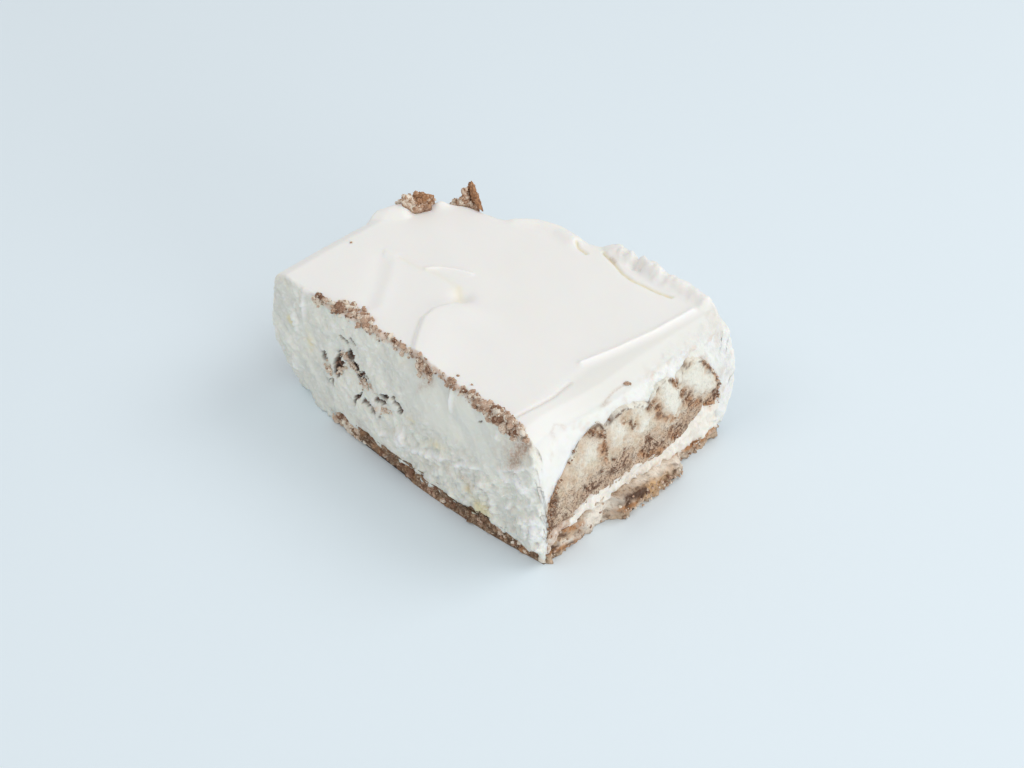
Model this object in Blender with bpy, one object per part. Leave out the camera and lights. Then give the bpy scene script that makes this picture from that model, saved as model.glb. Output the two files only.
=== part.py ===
"""Tiramisu slice: a soaked sponge base, a thin band of cream, a row of sponge fingers and the cream
that covers them on top and down both long sides, with crumbs along one edge and torn sponge on a corner.

Sizes are in millimetres and turn into Blender's metres when a mesh is made. +X runs along the slice to
its cut end, -Y is the long side that the knife smeared, +Z is up, and the slice rests on z = 0.
"""

import random

import bmesh
import bpy
import numpy as np
from mathutils import Matrix, Vector, noise

MM = 0.001
CENTRE = Vector((0.33, 1.22, 0.0))  # middle of the finished slice, which becomes the origin

# Driving dimensions
HALF_LENGTH = 50.0
TOP_HEIGHT = 43.0
GAP = 0.35  # clear space between neighbouring pieces
LAYER_GAP = 0.6  # the same, measured upright between layers that follow different points
STATIONS = 31  # cross-sections along the slice, closer together near its ends
FINGER_STEPS = 6  # spans across each finger
LAYER_COLUMNS = 19  # points across the base and the filling

# Curves as (place, value) pairs. Side outlines are at the foot, half way up and at the top edge.
NEAR_FOOT = ((-50, -32.3), (-40, -34.7), (-26, -36.5), (-9, -37.4), (13, -37.6), (31, -36.6), (50, -34.4))
NEAR_MIDDLE = ((-50, -37.0), (-26, -37.3), (0, -36.8), (31, -36.2), (50, -35.2))
NEAR_TOP = ((-50, -35.7), (-35, -35.0), (-2, -32.8), (22, -33.8), (43, -33.6), (50, -33.2))
FAR_FOOT = ((-50, 34.8), (0, 35.8), (50, 35.6))
FAR_MIDDLE = ((-50, 37.0), (0, 38.2), (25, 39.2), (50, 40.2))
FAR_TOP = ((-50, 35.0), (0, 36.4), (25, 37.6), (40, 37.8), (50, 35.4))
FLAT_TOP_EDGE = (
    (-50, 1.7), (-45.5, 7.5), (-41, 15.0), (-36, 19.6), (-29, 21.6), (-22, 24.0),
    (-15, 29.6), (-9, 31.8), (3, 32.8), (10, 36.0), (36, 37.6), (45, 36.4), (50, 33.2),
)
CUT_END_LEAN = ((-36, 6.8), (-23, 6.0), (-13, 5.0), (-4, 4.4), (7, 3.8), (18, 3.0), (30, 2.0), (38, 0.8))
HIDDEN_END_SWELL = ((0, 0.0), (14, 2.0), (24, 4.3), (32, 3.6), (43, 2.2))
BAND_TOP = ((-50, 6.0), (-24, 6.8), (-10, 6.8), (0, 5.8), (19.5, 5.1), (33, 6.1), (43, 5.1), (50, 4.3))
BASE_TOP = ((-29.5, 7.7), (-25, 8.0), (-13, 9.0), (5, 6.7), (19, 4.8), (34, 4.6))
FINGER_FLOOR = (
    (-34, 9.7), (-26, 9.9), (-19, 12.4), (-11, 13.2), (-3, 13.2), (5.5, 11.2), (12, 11.0),
    (18.5, 11.6), (22, 13.4), (26, 15.8), (34, 14.8),
)
TEAR_DEPTH = 19.0  # the torn corner falls towards this far below the top
TEAR_REACH = 12.0  # how far beyond the flat top's edge most of that fall takes
TORN_AWAY = 24.0  # a fall of the cream by which nothing of the fingers would be left
LOWEST_FINGER = 9.2  # height that stays below every finger

# Sponge fingers: (near side, far side, crown place and height, near drop, far drop, near and far roundness,
# end offset)
FINGERS = (
    (-33.5, -10.0, -14.0, 37.6, 15.5, 3.0, 1.6, 2.5, -0.5),
    (-10.0, 6.0, -5.5, 37.0, 2.2, 4.0, 2.5, 2.5, 0.4),
    (6.0, 17.5, 12.4, 37.0, 4.0, 4.6, 2.5, 2.5, 0.8),
    (17.5, 34.2, 22.4, 37.4, 3.4, 14.0, 2.5, 1.9, 0.5),
)
END_DROP = 2.2  # how much lower the fingers lie at the two ends
FOOT_TUCK = (-25.0, -28.0)  # between these places along the slice the base draws back
FOOT_LANDING = (-28.6, -31.6)  # between these the cream comes down to the floor in front of it
TUCKED_NEAR_EDGE = -29.6
BASE_CHUNK = (-8.6, 16.4, 4.2)  # near end, far end and reach of the soaked lump beyond the cut end

# Relief of the cream on top, as paths of (x, y)
SPATULA_RIDGE = ((34.4, -4.9), (37.7, 6.5), (40.0, 17.7), (41.3, 31.5))
LIFTED_LIP = ((-6.9, -11.8), (-8.9, -16.7), (-8.2, -21.7), (-4.4, -27.6), (-0.8, -32.5))
CURLED_EDGE = ((8.8, 36.0), (15.1, 36.2), (22.5, 36.0), (28.3, 35.8), (36.0, 36.6), (42.0, 36.0))
RAISED_RIM = ((-20.1, 26.6), (-14.9, 29.8), (-8.9, 31.6), (-2.5, 31.0))
DIMPLE = (-7.1, -7.9)
CREAM_MOUND = ((-52.0, 1.0), (-48.8, 4.2), (-46.6, 6.4))
CREAM_PEAK = (-41.6, 17.2)

# Torn hollows of the smeared side: (x, z, half length, half height, depth)
TORN_HOLLOWS = ((-24.0, 26.5, 6.5, 3.6, 1.5), (-10.0, 21.0, 6.0, 2.8, 1.2))

# Crumbs along the top of the smeared side: (start, end, height below the edge, thickness, how many)
CRUMB_RUNS = (
    (-34.0, -13.0, 0.6, 1.5, 17),
    (-13.0, 2.0, 1.2, 1.2, 9),
    (3.5, 9.0, 3.0, 2.2, 7),
    (13.0, 16.0, 1.4, 0.9, 2),
    (20.0, 46.0, 1.8, 2.4, 29),
)
CRUMB_RADIUS = (0.8, 1.7)
CRUMB_SEED = 11

# Torn sponge on the corner: (x, y, degrees from +X, half length, half width, height)
CORNER_LUMPS = ((-44.8, 11.2, 59, 5.2, 3.2, 4.2), (-38.2, 22.8, 12, 4.6, 2.4, 3.8))
LUMP_GAP = 1.0  # clear space under them, measured upright
LUMP_LEAN = 0.35  # how much taller they are towards their heading
SHARD_START = (-29.0, 21.9)  # the low end of the upright flake
SHARD_HEADING = 160  # degrees from +X
SHARD_OUTLINE = ((0.0, 43.7), (4.0, 46.0), (7.6, 49.0), (8.8, 48.2), (9.6, 45.0), (9.0, 41.8), (4.6, 43.2))
SHARD_THICKNESS = 1.4

LUMP_RINGS = 6
LUMP_SPOKES = 18
LUMP_GRAINS = 8
LUMP_GRAIN_RADIUS = (0.9, 1.5)

COLOURS = {
    "cream_coat": (0.87, 0.86, 0.80),
    "cream_filling": (0.86, 0.82, 0.72),
    "sponge_base": (0.25, 0.14, 0.08),
    "sponge_finger": (0.58, 0.45, 0.32),
    "sponge_lump": (0.42, 0.26, 0.16),
}
ROUGHNESS = {"cream_coat": 0.45, "cream_filling": 0.5}
SPONGE_ROUGHNESS = 0.9


def curve(knots, place):
    """A smooth curve through (place, value) pairs, level past its ends."""
    places, values = np.array(knots, float).T
    place = np.clip(place, places[0], places[-1])
    slopes = np.gradient(values, places)
    span = np.clip(np.searchsorted(places, place) - 1, 0, len(places) - 2)
    width = places[span + 1] - places[span]
    t = (place - places[span]) / width
    return (
        values[span] * (1 + 2 * t) * (1 - t) ** 2
        + values[span + 1] * t**2 * (3 - 2 * t)
        + width * t * (1 - t) * (slopes[span] * (1 - t) - slopes[span + 1] * t)
    )


def smoothstep(start, end, value):
    t = np.clip((value - start) / (end - start), 0, 1)
    return t * t * (3 - 2 * t)


def hump(value, centre, half_width):
    return np.exp(-(((value - centre) / half_width) ** 2))


def away(x, y, path):
    """Distance from a path of (x, y) points, and how far to its left, negative to its right."""
    nearest = np.full(np.broadcast(x, y).shape, np.inf)
    side = np.zeros(nearest.shape)
    for (ax, ay), (bx, by) in zip(path, path[1:]):
        dx, dy = bx - ax, by - ay
        t = np.clip(((x - ax) * dx + (y - ay) * dy) / (dx * dx + dy * dy), 0, 1)
        distance = np.hypot(x - ax - t * dx, y - ay - t * dy)
        left = (dx * (y - ay) - dy * (x - ax)) / np.hypot(dx, dy)
        closer = distance < nearest
        nearest = np.where(closer, distance, nearest)
        side = np.where(closer, left, side)
    return nearest, side


def end_swell(station, y, z):
    """How far a point moves along X because the two ends aren't flat."""
    share = (station / HALF_LENGTH) ** 2
    lean = curve(CUT_END_LEAN, y) * np.clip(z / 41.0, 0, 1.1) ** 3
    draped = 2.0 * hump(y, -35, 5) * hump(z, 36, 6)
    far_bulge = 1.2 * hump(y, 40, 6) * hump(z, 20, 12)
    cut = -lean + draped + far_bulge
    hidden = -curve(HIDDEN_END_SWELL, z) * (0.3 + 0.7 * smoothstep(10, -30, y))
    return share * np.where(station > 0, cut, hidden)


def corner_draw(station, y):
    """How far the hidden far corner is drawn in along Y."""
    return 4.0 * smoothstep(-10, -50, station) * np.clip(y / 36.0, 0, 1.1)


def placed(station, y, z):
    """Points of the slice from a station along it and a place in its cross-section."""
    station, y, z = np.broadcast_arrays(station, y, z)
    return np.stack([station + end_swell(station, y, z), y - corner_draw(station, y), z], axis=-1)


def through_levels(foot, middle, top, x, z):
    """A side's outline at height z, from its outlines at the foot, half way up and at the top."""
    t = np.clip(z / TOP_HEIGHT, 0, 1)
    low, mid, high = curve(foot, x), curve(middle, x), curve(top, x)
    return low * (1 - t) * (1 - 2 * t) + mid * 4 * t * (1 - t) + high * t * (2 * t - 1)


def near_side(x, z):
    y = through_levels(NEAR_FOOT, NEAR_MIDDLE, NEAR_TOP, x, z)
    y = y - 2.0 * hump(x, 45, 7) * hump(z, 34, 6)
    for hollow_x, hollow_z, length, height, depth in TORN_HOLLOWS:
        y = y + depth * hump(x, hollow_x, length) * hump(z, hollow_z - 0.35 * (x - hollow_x), height)
    return y


def far_side(x, z):
    return through_levels(FAR_FOOT, FAR_MIDDLE, FAR_TOP, x, z)


def corner_fall(x, y):
    beyond = np.clip(y - curve(FLAT_TOP_EDGE, x), 0, None)
    return TEAR_DEPTH * (1 - np.exp(-(beyond**2) / (beyond + 1.5) / TEAR_REACH))


def top_height(x, y):
    """Height of the cream on top, with what the spatula left."""
    z = TOP_HEIGHT - corner_fall(x, y)
    near, side = away(x, y, SPATULA_RIDGE)
    z = z + 0.7 * hump(near, 0, 1.6)
    ridge_x = np.interp(y, (-34, -5, 31), (35.5, 34.4, 41.3))
    z = z - 2.2 * smoothstep(0, 13, x - ridge_x)
    near, side = away(x, y, LIFTED_LIP)
    z = z + 1.3 * smoothstep(-0.8, 1.0, side) * hump(side, 0, 12) * hump(near, 0, 14)
    z = z - 1.8 * hump(np.hypot(x - DIMPLE[0], y - DIMPLE[1]), 0, 2.6)
    z = z + 2.2 * hump(away(x, y, CURLED_EDGE)[0], 0, 2.2)
    z = z + 1.2 * hump(away(x, y, RAISED_RIM)[0], 0, 2.4)
    z = z + 2.8 * (1 - smoothstep(0.8, 4.6, away(x, y, CREAM_MOUND)[0]))
    z = z + 2.4 * hump(np.hypot(x - CREAM_PEAK[0], y - CREAM_PEAK[1]), 0, 2.4)
    return z


def shrunk_by_corner(x, y, low, high):
    """The height high, lowered towards low in step with the cream at the torn corner."""
    return low + (high - low) * (1 - corner_fall(x, y) / TORN_AWAY)


def finger_crown(finger, x, y):
    near, far, peak, crown, near_drop, far_drop, near_roundness, far_roundness, _ = finger
    t = np.where(y < peak, (y - peak) / (peak - near), (y - peak) / (far - peak))
    drop = np.where(t < 0, near_drop * abs(t) ** near_roundness, far_drop * abs(t) ** far_roundness)
    drop = drop + END_DROP * smoothstep(HALF_LENGTH - 14, HALF_LENGTH, abs(x))
    return shrunk_by_corner(x, y - corner_draw(x, y), curve(FINGER_FLOOR, y), crown - drop)


def spread(low, high, count):
    """Places from low to high, closer together near both."""
    even = np.linspace(-1, 1, count)
    return (low + high) / 2 + (even + np.sin(even * np.pi / 2)) * (high - low) / 4


def stations():
    return spread(-HALF_LENGTH, HALF_LENGTH, STATIONS)


def across(finger):
    return spread(finger[0], finger[1], FINGER_STEPS + 1)


def roof_of_fingers(x):
    """Places across the whole row of fingers and its crowns' height there, the higher where two meet."""
    places, heights = [], []
    for finger in FINGERS:
        y = across(finger)
        z = finger_crown(finger, x, y)
        if places:
            heights[-1][-1] = max(heights[-1][-1], z[0])
            y, z = y[1:], z[1:]
        places.append(y)
        heights.append(z)
    return np.concatenate(places), np.concatenate(heights)


def base_top(station, y):
    """Top of the base: the level of the band at its near edge, and of the filling farther in."""
    rise_start = -33.0 + 3.6 * tuck(station)
    band = curve(BAND_TOP, station)
    return band + (curve(BASE_TOP, y) - band) * smoothstep(rise_start, rise_start + 3.5, y)


def tuck(station):
    """1 where the base is drawn back behind the cream, 0 where it shows."""
    return smoothstep(*FOOT_TUCK, station)


def base_near_edge(station):
    shown = curve(NEAR_FOOT, station) + 0.5
    return shown + (TUCKED_NEAR_EDGE - shown) * tuck(station)


def cream_foot(station):
    shown = curve(BAND_TOP, station) + GAP
    return shown + (GAP - shown) * smoothstep(*FOOT_LANDING, station)


def mesh_object(name, bm, colour, rough):
    """A new object from a bmesh in millimetres, with its own plain material."""
    bmesh.ops.translate(bm, verts=bm.verts, vec=-CENTRE)
    bmesh.ops.scale(bm, vec=Vector((MM, MM, MM)), verts=bm.verts)
    bmesh.ops.recalc_face_normals(bm, faces=bm.faces)
    mesh = bpy.data.meshes.new(name)
    bm.to_mesh(mesh)
    bm.free()
    mesh.shade_smooth()
    mesh.set_sharp_from_angle(angle=0.8)
    material = bpy.data.materials.new(name)
    material.use_nodes = True
    shader = material.node_tree.nodes["Principled BSDF"]
    shader.inputs["Base Color"].default_value = (*colour, 1)
    shader.inputs["Roughness"].default_value = rough
    mesh.materials.append(material)
    return bpy.data.objects.new(name, mesh)


def between(lower, upper):
    """A closed bmesh between two grids of points that have the same rows and columns."""
    bm = bmesh.new()
    grids = [[[bm.verts.new(point) for point in row] for row in grid] for grid in (upper, lower)]
    top, under = grids
    rows, columns = len(top), len(top[0])
    for i in range(rows - 1):
        for j in range(columns - 1):
            bm.faces.new((top[i][j], top[i + 1][j], top[i + 1][j + 1], top[i][j + 1]))
            bm.faces.new((under[i][j], under[i][j + 1], under[i + 1][j + 1], under[i + 1][j]))
    rim = [(0, j) for j in range(columns)] + [(i, columns - 1) for i in range(1, rows)]
    rim += [(rows - 1, j) for j in range(columns - 2, -1, -1)] + [(i, 0) for i in range(rows - 2, 0, -1)]
    for (i, j), (k, m) in zip(rim, rim[1:] + rim[:1]):
        bm.faces.new((top[i][j], top[k][m], under[k][m], under[i][j]))
    bmesh.ops.triangulate(bm, faces=bm.faces)
    return bm


def coat_section(station):
    """Outer and inner points of the cream at one station, from the near foot over the top to the far foot."""
    edge_x = station + end_swell(station, -34.0, TOP_HEIGHT)
    near_foot, far_foot = cream_foot(station), base_top(station, 36.0) + GAP
    near_top, far_top = near_side(station, TOP_HEIGHT), far_side(station, TOP_HEIGHT)

    roof_y, roof_z = roof_of_fingers(station)
    slopes = np.abs(np.diff(roof_z) / np.diff(roof_y))
    steepness = np.hypot(1, np.maximum(np.append(slopes, 0), np.append(0, slopes)))
    torn = smoothstep(0, 1.5, corner_fall(station, roof_y - corner_draw(station, roof_y)))
    roof_z = roof_z + LAYER_GAP * (steepness + torn)
    inner_low = np.concatenate([
        np.linspace(near_foot, LOWEST_FINGER, 5),
        np.linspace(LOWEST_FINGER, roof_z[0], 7)[1:-1],
    ])
    drawn_back = (TUCKED_NEAR_EDGE - 0.5 - FINGERS[0][0]) * tuck(station)
    inner_low_y = FINGERS[0][0] - GAP / 2 + drawn_back * (1 - smoothstep(5.0, 8.5, inner_low))
    inner_high = np.linspace(roof_z[-1], far_foot, 9)[1:]
    inner_high_y = np.full(len(inner_high), FINGERS[-1][1] + GAP / 2)

    outer_y = near_top + 0.2 + (roof_y - roof_y[0]) / (roof_y[-1] - roof_y[0]) * (far_top - near_top - 0.4)
    outer_y[1], outer_y[-2] = near_top + 1.4, far_top - 1.6
    outer_x = station + end_swell(station, outer_y, TOP_HEIGHT)
    outer_z = top_height(outer_x, outer_y - corner_draw(station, outer_y))
    outer_z = outer_z - 1.6 * smoothstep(HALF_LENGTH - 4, HALF_LENGTH, abs(station))
    outer_z[0] -= 0.9
    outer_z[-1] -= 1.2
    wall_low = np.linspace(near_foot, outer_z[0] - 0.8, 10)
    wall_high = np.linspace(outer_z[-1] - 1.0, far_foot, 8)

    outer = np.concatenate([
        placed(station, near_side(edge_x, wall_low), wall_low),
        placed(station, outer_y, outer_z),
        placed(station, far_side(station, wall_high), wall_high),
    ])
    inner = np.concatenate([
        placed(station, inner_low_y, inner_low),
        placed(station, roof_y, roof_z),
        placed(station, inner_high_y, inner_high),
    ])
    return outer, inner


def crumb(bm, centre, radius, rng):
    """One rough grain: a small icosphere pushed out of round."""
    made = bmesh.ops.create_icosphere(bm, subdivisions=1, radius=radius)["verts"]
    stretch = Vector([rng.uniform(0.75, 1.25) for _ in range(3)])
    turn = Matrix.Rotation(rng.uniform(0, 6.28), 3, Vector([rng.gauss(0, 1) for _ in range(3)]))
    for vert in made:
        vert.co = Vector(centre) + turn @ (vert.co * stretch) * rng.uniform(0.85, 1.15)


def crumb_objects(rng):
    """Grains along the top of the smeared side, each its own closed object."""
    grains = []
    for start, end, below, thickness, count in CRUMB_RUNS:
        for k in range(count):
            x = start + (end - start) * (k + rng.uniform(0.1, 0.9)) / count
            z = TOP_HEIGHT - below + rng.uniform(-0.5, 0.35) * thickness
            y = near_side(x, min(z, 42.0)) + rng.uniform(-0.2, 0.8)
            bm = bmesh.new()
            crumb(bm, (x, y, z), rng.uniform(*CRUMB_RADIUS), rng)
            grains.append(mesh_object("crumb", bm, COLOURS["cream_coat"], SPONGE_ROUGHNESS))
    return grains


def fuse(target, pieces):
    """Joins pieces to target with one Boolean union and removes them."""
    group = bpy.data.collections.new("pieces to fuse")
    for piece in pieces:
        group.objects.link(piece)
    bpy.context.scene.collection.children.link(group)
    union = target.modifiers.new("fuse", "BOOLEAN")
    union.operation = "UNION"
    union.operand_type = "COLLECTION"
    union.collection = group
    union.solver = "EXACT"
    graph = bpy.context.evaluated_depsgraph_get()
    fused = bpy.data.meshes.new_from_object(target.evaluated_get(graph))
    target.modifiers.remove(union)
    keep_largest_shell(fused)
    target.data = fused
    for piece in pieces:
        bpy.data.objects.remove(piece)
    bpy.data.collections.remove(group)


def keep_largest_shell(mesh):
    """Drops loose scraps and fills sealed hollows, which are shells of their own."""
    bm = bmesh.new()
    bm.from_mesh(mesh)
    bm.verts.index_update()
    unseen, shells = set(bm.verts), []
    while unseen:
        shell, edge = set(), [unseen.pop()]
        while edge:
            vert = edge.pop()
            shell.add(vert)
            for link in vert.link_edges:
                other = link.other_vert(vert)
                if other in unseen:
                    unseen.remove(other)
                    edge.append(other)
        shells.append(shell)
    largest = max(shells, key=len)
    bmesh.ops.delete(bm, geom=[v for v in bm.verts if v not in largest], context="VERTS")
    bmesh.ops.triangulate(bm, faces=bm.faces)
    bm.to_mesh(mesh)
    bm.free()


def make_cream_coat():
    sections = [coat_section(s) for s in stations()]
    outer, inner = np.array(sections).transpose(1, 0, 2, 3)
    return mesh_object("cream_coat", between(inner, outer), COLOURS["cream_coat"], ROUGHNESS["cream_coat"])


def make_finger(number, finger):
    along = stations()[:, None]
    y = across(finger)[None, :]
    inset = y + GAP / 2 * np.interp(y, (finger[0], finger[1]), (1, -1))
    reach = finger[-1] * (np.sign(along) * (abs(along) > HALF_LENGTH - 0.1))
    upper = placed(along, inset, finger_crown(finger, along, y))
    lower = placed(along, inset, curve(FINGER_FLOOR, y))
    upper[..., 0] += reach
    lower[..., 0] += reach
    bm = between(lower, upper)
    return mesh_object(f"sponge_finger_{number}", bm, COLOURS["sponge_finger"], SPONGE_ROUGHNESS)


def layer_columns(station):
    """Places across the filling, which the base under it shares."""
    near = FINGERS[0][0] + GAP + (TUCKED_NEAR_EDGE + 0.5 - FINGERS[0][0]) * tuck(station)
    return np.linspace(near, FINGERS[-1][1] - GAP, LAYER_COLUMNS)


def make_filling():
    lower, upper = [], []
    for station in stations():
        y = layer_columns(station)
        upper.append(placed(station, y, curve(FINGER_FLOOR, y) - LAYER_GAP))
        lower.append(placed(station, y, base_top(station, y) + GAP))
    bm = between(np.array(lower), np.array(upper))
    return mesh_object("cream_filling", bm, COLOURS["cream_filling"], ROUGHNESS["cream_filling"])


def make_base():
    """The bottom layer: flat below, with a ragged cut end and a soaked lump that stands out of it."""
    chunk_near, chunk_far, chunk_reach = BASE_CHUNK
    lower, upper = [], []
    for station in stations():
        y = np.concatenate([[base_near_edge(station)], layer_columns(station), [FAR_FOOT[-1][1] - 0.4]])
        z = base_top(station, y)
        z[0] -= 0.9
        z[-1] -= 0.9
        chunk = smoothstep(chunk_near - 2, chunk_near + 1, y) * smoothstep(chunk_far + 2, chunk_far - 1, y)
        chunk = chunk_reach * chunk
        ragged = 1.1 * bumps(y, np.zeros_like(y), 0.35, 4.0)
        out = (chunk + ragged) * smoothstep(HALF_LENGTH - 6, HALF_LENGTH, station)
        z = z - 1.4 * smoothstep(HALF_LENGTH - 1, HALF_LENGTH, station) * (chunk > 0.5)
        foot = placed(station, y, np.zeros_like(y))
        roof = placed(station, y, z)
        foot[:, 0] += out * 0.85
        roof[:, 0] += out
        lower.append(foot)
        upper.append(roof)
    bm = between(np.array(lower), np.array(upper))
    return mesh_object("sponge_base", bm, COLOURS["sponge_base"], SPONGE_ROUGHNESS)


def bumps(x, y, frequency, seed):
    """Smooth noise between about -1 and 1 at each of an array of places."""
    places = zip(x.flat, y.flat)
    levels = [noise.noise(Vector((u * frequency, v * frequency, seed))) for u, v in places]
    return np.array(levels).reshape(x.shape)


def turned(x, y, degrees, along, sideways):
    """A place so far along a heading from (x, y) and so far to its left."""
    heading = np.radians(degrees)
    return (
        x + along * np.cos(heading) - sideways * np.sin(heading),
        y + along * np.sin(heading) + sideways * np.cos(heading),
    )


def make_lump(number, lump):
    """A torn piece of sponge that lies on the cream, its underside following it, and grains to fuse to it."""
    x, y, degrees, length, width, height = lump
    rng = random.Random(number)
    share = np.linspace(0.04, 1, LUMP_RINGS)[:, None]
    angle = np.linspace(0, 2 * np.pi, LUMP_SPOKES, endpoint=False)[None, :]
    outline = share * (1 + 0.4 * bumps(np.cos(angle), np.sin(angle), 2.0, number))
    along, sideways = length * outline * np.cos(angle), width * outline * np.sin(angle)
    points_x, points_y = turned(x, y, degrees, along, sideways)
    under = top_height(points_x, points_y) + LUMP_GAP
    rise = height * (1 - share**2) * (1 + LUMP_LEAN * np.cos(angle)) + 0.6
    roof = under + rise * (1 + 0.6 * bumps(points_x, points_y, 0.45, number))
    lower, upper = (np.stack([points_x, points_y, z], axis=-1) for z in (under, roof))
    bm = closed_disc(lower, upper)
    body = mesh_object(f"sponge_lump_{number}", bm, COLOURS["sponge_lump"], SPONGE_ROUGHNESS)

    grains = []
    for _ in range(LUMP_GRAINS):
        turn, out = rng.uniform(0, 2 * np.pi), rng.uniform(0.1, 0.65)
        grain_x, grain_y = turned(x, y, degrees, length * out * np.cos(turn), width * out * np.sin(turn))
        grain_z = float(top_height(grain_x, grain_y)) + LUMP_GAP + height * (1 - out**2)
        grain = bmesh.new()
        crumb(grain, (grain_x, grain_y, grain_z), rng.uniform(*LUMP_GRAIN_RADIUS), rng)
        grains.append(mesh_object("grain", grain, COLOURS["sponge_lump"], SPONGE_ROUGHNESS))
    return body, grains


def closed_disc(lower, upper):
    """A closed bmesh between two discs, each given as rings of points from the middle out."""
    bm = bmesh.new()
    discs = [[[bm.verts.new(point) for point in ring] for ring in disc] for disc in (upper, lower)]
    spokes = len(upper[0])
    for disc in discs:
        bm.faces.new(disc[0])
        for inner, outer in zip(disc, disc[1:]):
            for j in range(spokes):
                k = (j + 1) % spokes
                bm.faces.new((inner[j], outer[j], outer[k], inner[k]))
    for j in range(spokes):
        k = (j + 1) % spokes
        bm.faces.new((discs[0][-1][j], discs[1][-1][j], discs[1][-1][k], discs[0][-1][k]))
    bmesh.ops.recalc_face_normals(bm, faces=bm.faces)
    bmesh.ops.triangulate(bm, faces=bm.faces)
    return bm


def shard():
    """A thin upright flake of sponge: its outline, given along its heading and in height, made thick."""
    bm = bmesh.new()
    faces = []
    for side in (-SHARD_THICKNESS / 2, SHARD_THICKNESS / 2):
        places = [turned(*SHARD_START, SHARD_HEADING, along, side) for along, _ in SHARD_OUTLINE]
        heights = [height for _, height in SHARD_OUTLINE]
        faces.append([bm.verts.new((x, y, z)) for (x, y), z in zip(places, heights)])
    bm.faces.new(faces[0])
    bm.faces.new(reversed(faces[1]))
    count = len(SHARD_OUTLINE)
    for i in range(count):
        j = (i + 1) % count
        bm.faces.new((faces[0][i], faces[1][i], faces[1][j], faces[0][j]))
    bmesh.ops.triangulate(bm, faces=bm.faces)
    return mesh_object("shard", bm, COLOURS["sponge_lump"], SPONGE_ROUGHNESS)


def main():
    for obj in list(bpy.data.objects):
        bpy.data.objects.remove(obj)
    parts = bpy.data.collections.new("tiramisu slice")
    bpy.context.scene.collection.children.link(parts)

    coat = make_cream_coat()
    parts.objects.link(coat)
    fuse(coat, crumb_objects(random.Random(CRUMB_SEED)))

    parts.objects.link(make_base())
    parts.objects.link(make_filling())
    for number, finger in enumerate(FINGERS, 1):
        parts.objects.link(make_finger(number, finger))
    for number, lump in enumerate(CORNER_LUMPS, 1):
        body, pieces = make_lump(number, lump)
        parts.objects.link(body)
        if number == len(CORNER_LUMPS):
            pieces.append(shard())
        fuse(body, pieces)


main()
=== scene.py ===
"""Dresses the tiramisu slice: smeared cream, cut sponge fingers, soaked base and crumbs.

Shapes are worked out in millimetres in the slice's own frame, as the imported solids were: +X runs along
the slice to its cut end, -Y is the long side that the knife smeared, +Z is up. They turn into metres,
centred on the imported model, when a mesh is made.
"""

import functools
import itertools
import math

import bmesh
import bpy
import numpy as np
from mathutils import Euler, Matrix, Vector, noise


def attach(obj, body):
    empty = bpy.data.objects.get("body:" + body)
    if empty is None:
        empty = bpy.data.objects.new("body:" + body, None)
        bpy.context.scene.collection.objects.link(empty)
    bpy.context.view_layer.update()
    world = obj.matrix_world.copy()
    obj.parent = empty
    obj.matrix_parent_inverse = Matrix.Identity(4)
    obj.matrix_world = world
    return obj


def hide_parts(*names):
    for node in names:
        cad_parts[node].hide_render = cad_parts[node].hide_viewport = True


bl_info = {
    "name": "Tiramisu Slice",
    "version": (1, 0, 0),
    "blender": (4, 5, 0),
    "location": "3D View > Sidebar > Tiramisu",
    "description": "Builds a cut slice of tiramisu piece by piece",
    "category": "Object",
}

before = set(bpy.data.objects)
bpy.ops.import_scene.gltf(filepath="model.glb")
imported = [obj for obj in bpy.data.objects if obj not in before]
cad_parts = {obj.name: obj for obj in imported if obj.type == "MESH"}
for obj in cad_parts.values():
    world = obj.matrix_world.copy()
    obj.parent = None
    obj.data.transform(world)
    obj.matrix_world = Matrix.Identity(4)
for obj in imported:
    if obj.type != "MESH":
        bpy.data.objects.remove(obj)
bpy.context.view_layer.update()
BODY = "root"

MM = 0.001
CENTRE = np.array([0.33, 1.22, 0.0])  # middle of the slice in the working frame

# Sizes of the slice, the same as those of the solids
HALF_LENGTH = 50.0
TOP_HEIGHT = 43.0
NEAR_FOOT = ((-50, -32.3), (-40, -34.7), (-26, -36.5), (-9, -37.4), (13, -37.6), (31, -36.6), (50, -34.4))
NEAR_MIDDLE = ((-50, -37.0), (-26, -37.3), (0, -36.8), (31, -36.2), (50, -35.2))
NEAR_TOP = ((-50, -35.7), (-35, -35.0), (-2, -32.8), (22, -33.8), (43, -33.6), (50, -33.2))
FAR_FOOT = ((-50, 34.8), (0, 35.8), (50, 35.6))
FAR_MIDDLE = ((-50, 37.0), (0, 38.2), (25, 39.2), (50, 40.2))
FAR_TOP = ((-50, 35.0), (0, 36.4), (25, 37.6), (40, 37.8), (50, 35.4))
FLAT_TOP_EDGE = (
    (-50, 1.7), (-45.5, 7.5), (-41, 15.0), (-36, 19.6), (-29, 21.6), (-22, 24.0),
    (-15, 29.6), (-9, 31.8), (3, 32.8), (10, 36.0), (36, 37.6), (45, 36.4), (50, 33.2),
)
CUT_END_LEAN = ((-36, 6.8), (-23, 6.0), (-13, 5.0), (-4, 4.4), (7, 3.8), (18, 3.0), (30, 2.0), (38, 0.8))
HIDDEN_END_SWELL = ((0, 0.0), (14, 2.0), (24, 4.3), (32, 3.6), (43, 2.2))
BAND_TOP = ((-50, 6.0), (-24, 6.8), (-10, 6.8), (0, 5.8), (19.5, 5.1), (33, 6.1), (43, 5.1), (50, 4.3))
BASE_TOP = ((-29.5, 7.7), (-25, 8.0), (-13, 9.0), (5, 6.7), (19, 4.8), (34, 4.6))
FLOOR_SAG = (-12.5, 7.0, 1.3)  # where the border below the fingers sags, how wide and how far
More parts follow.
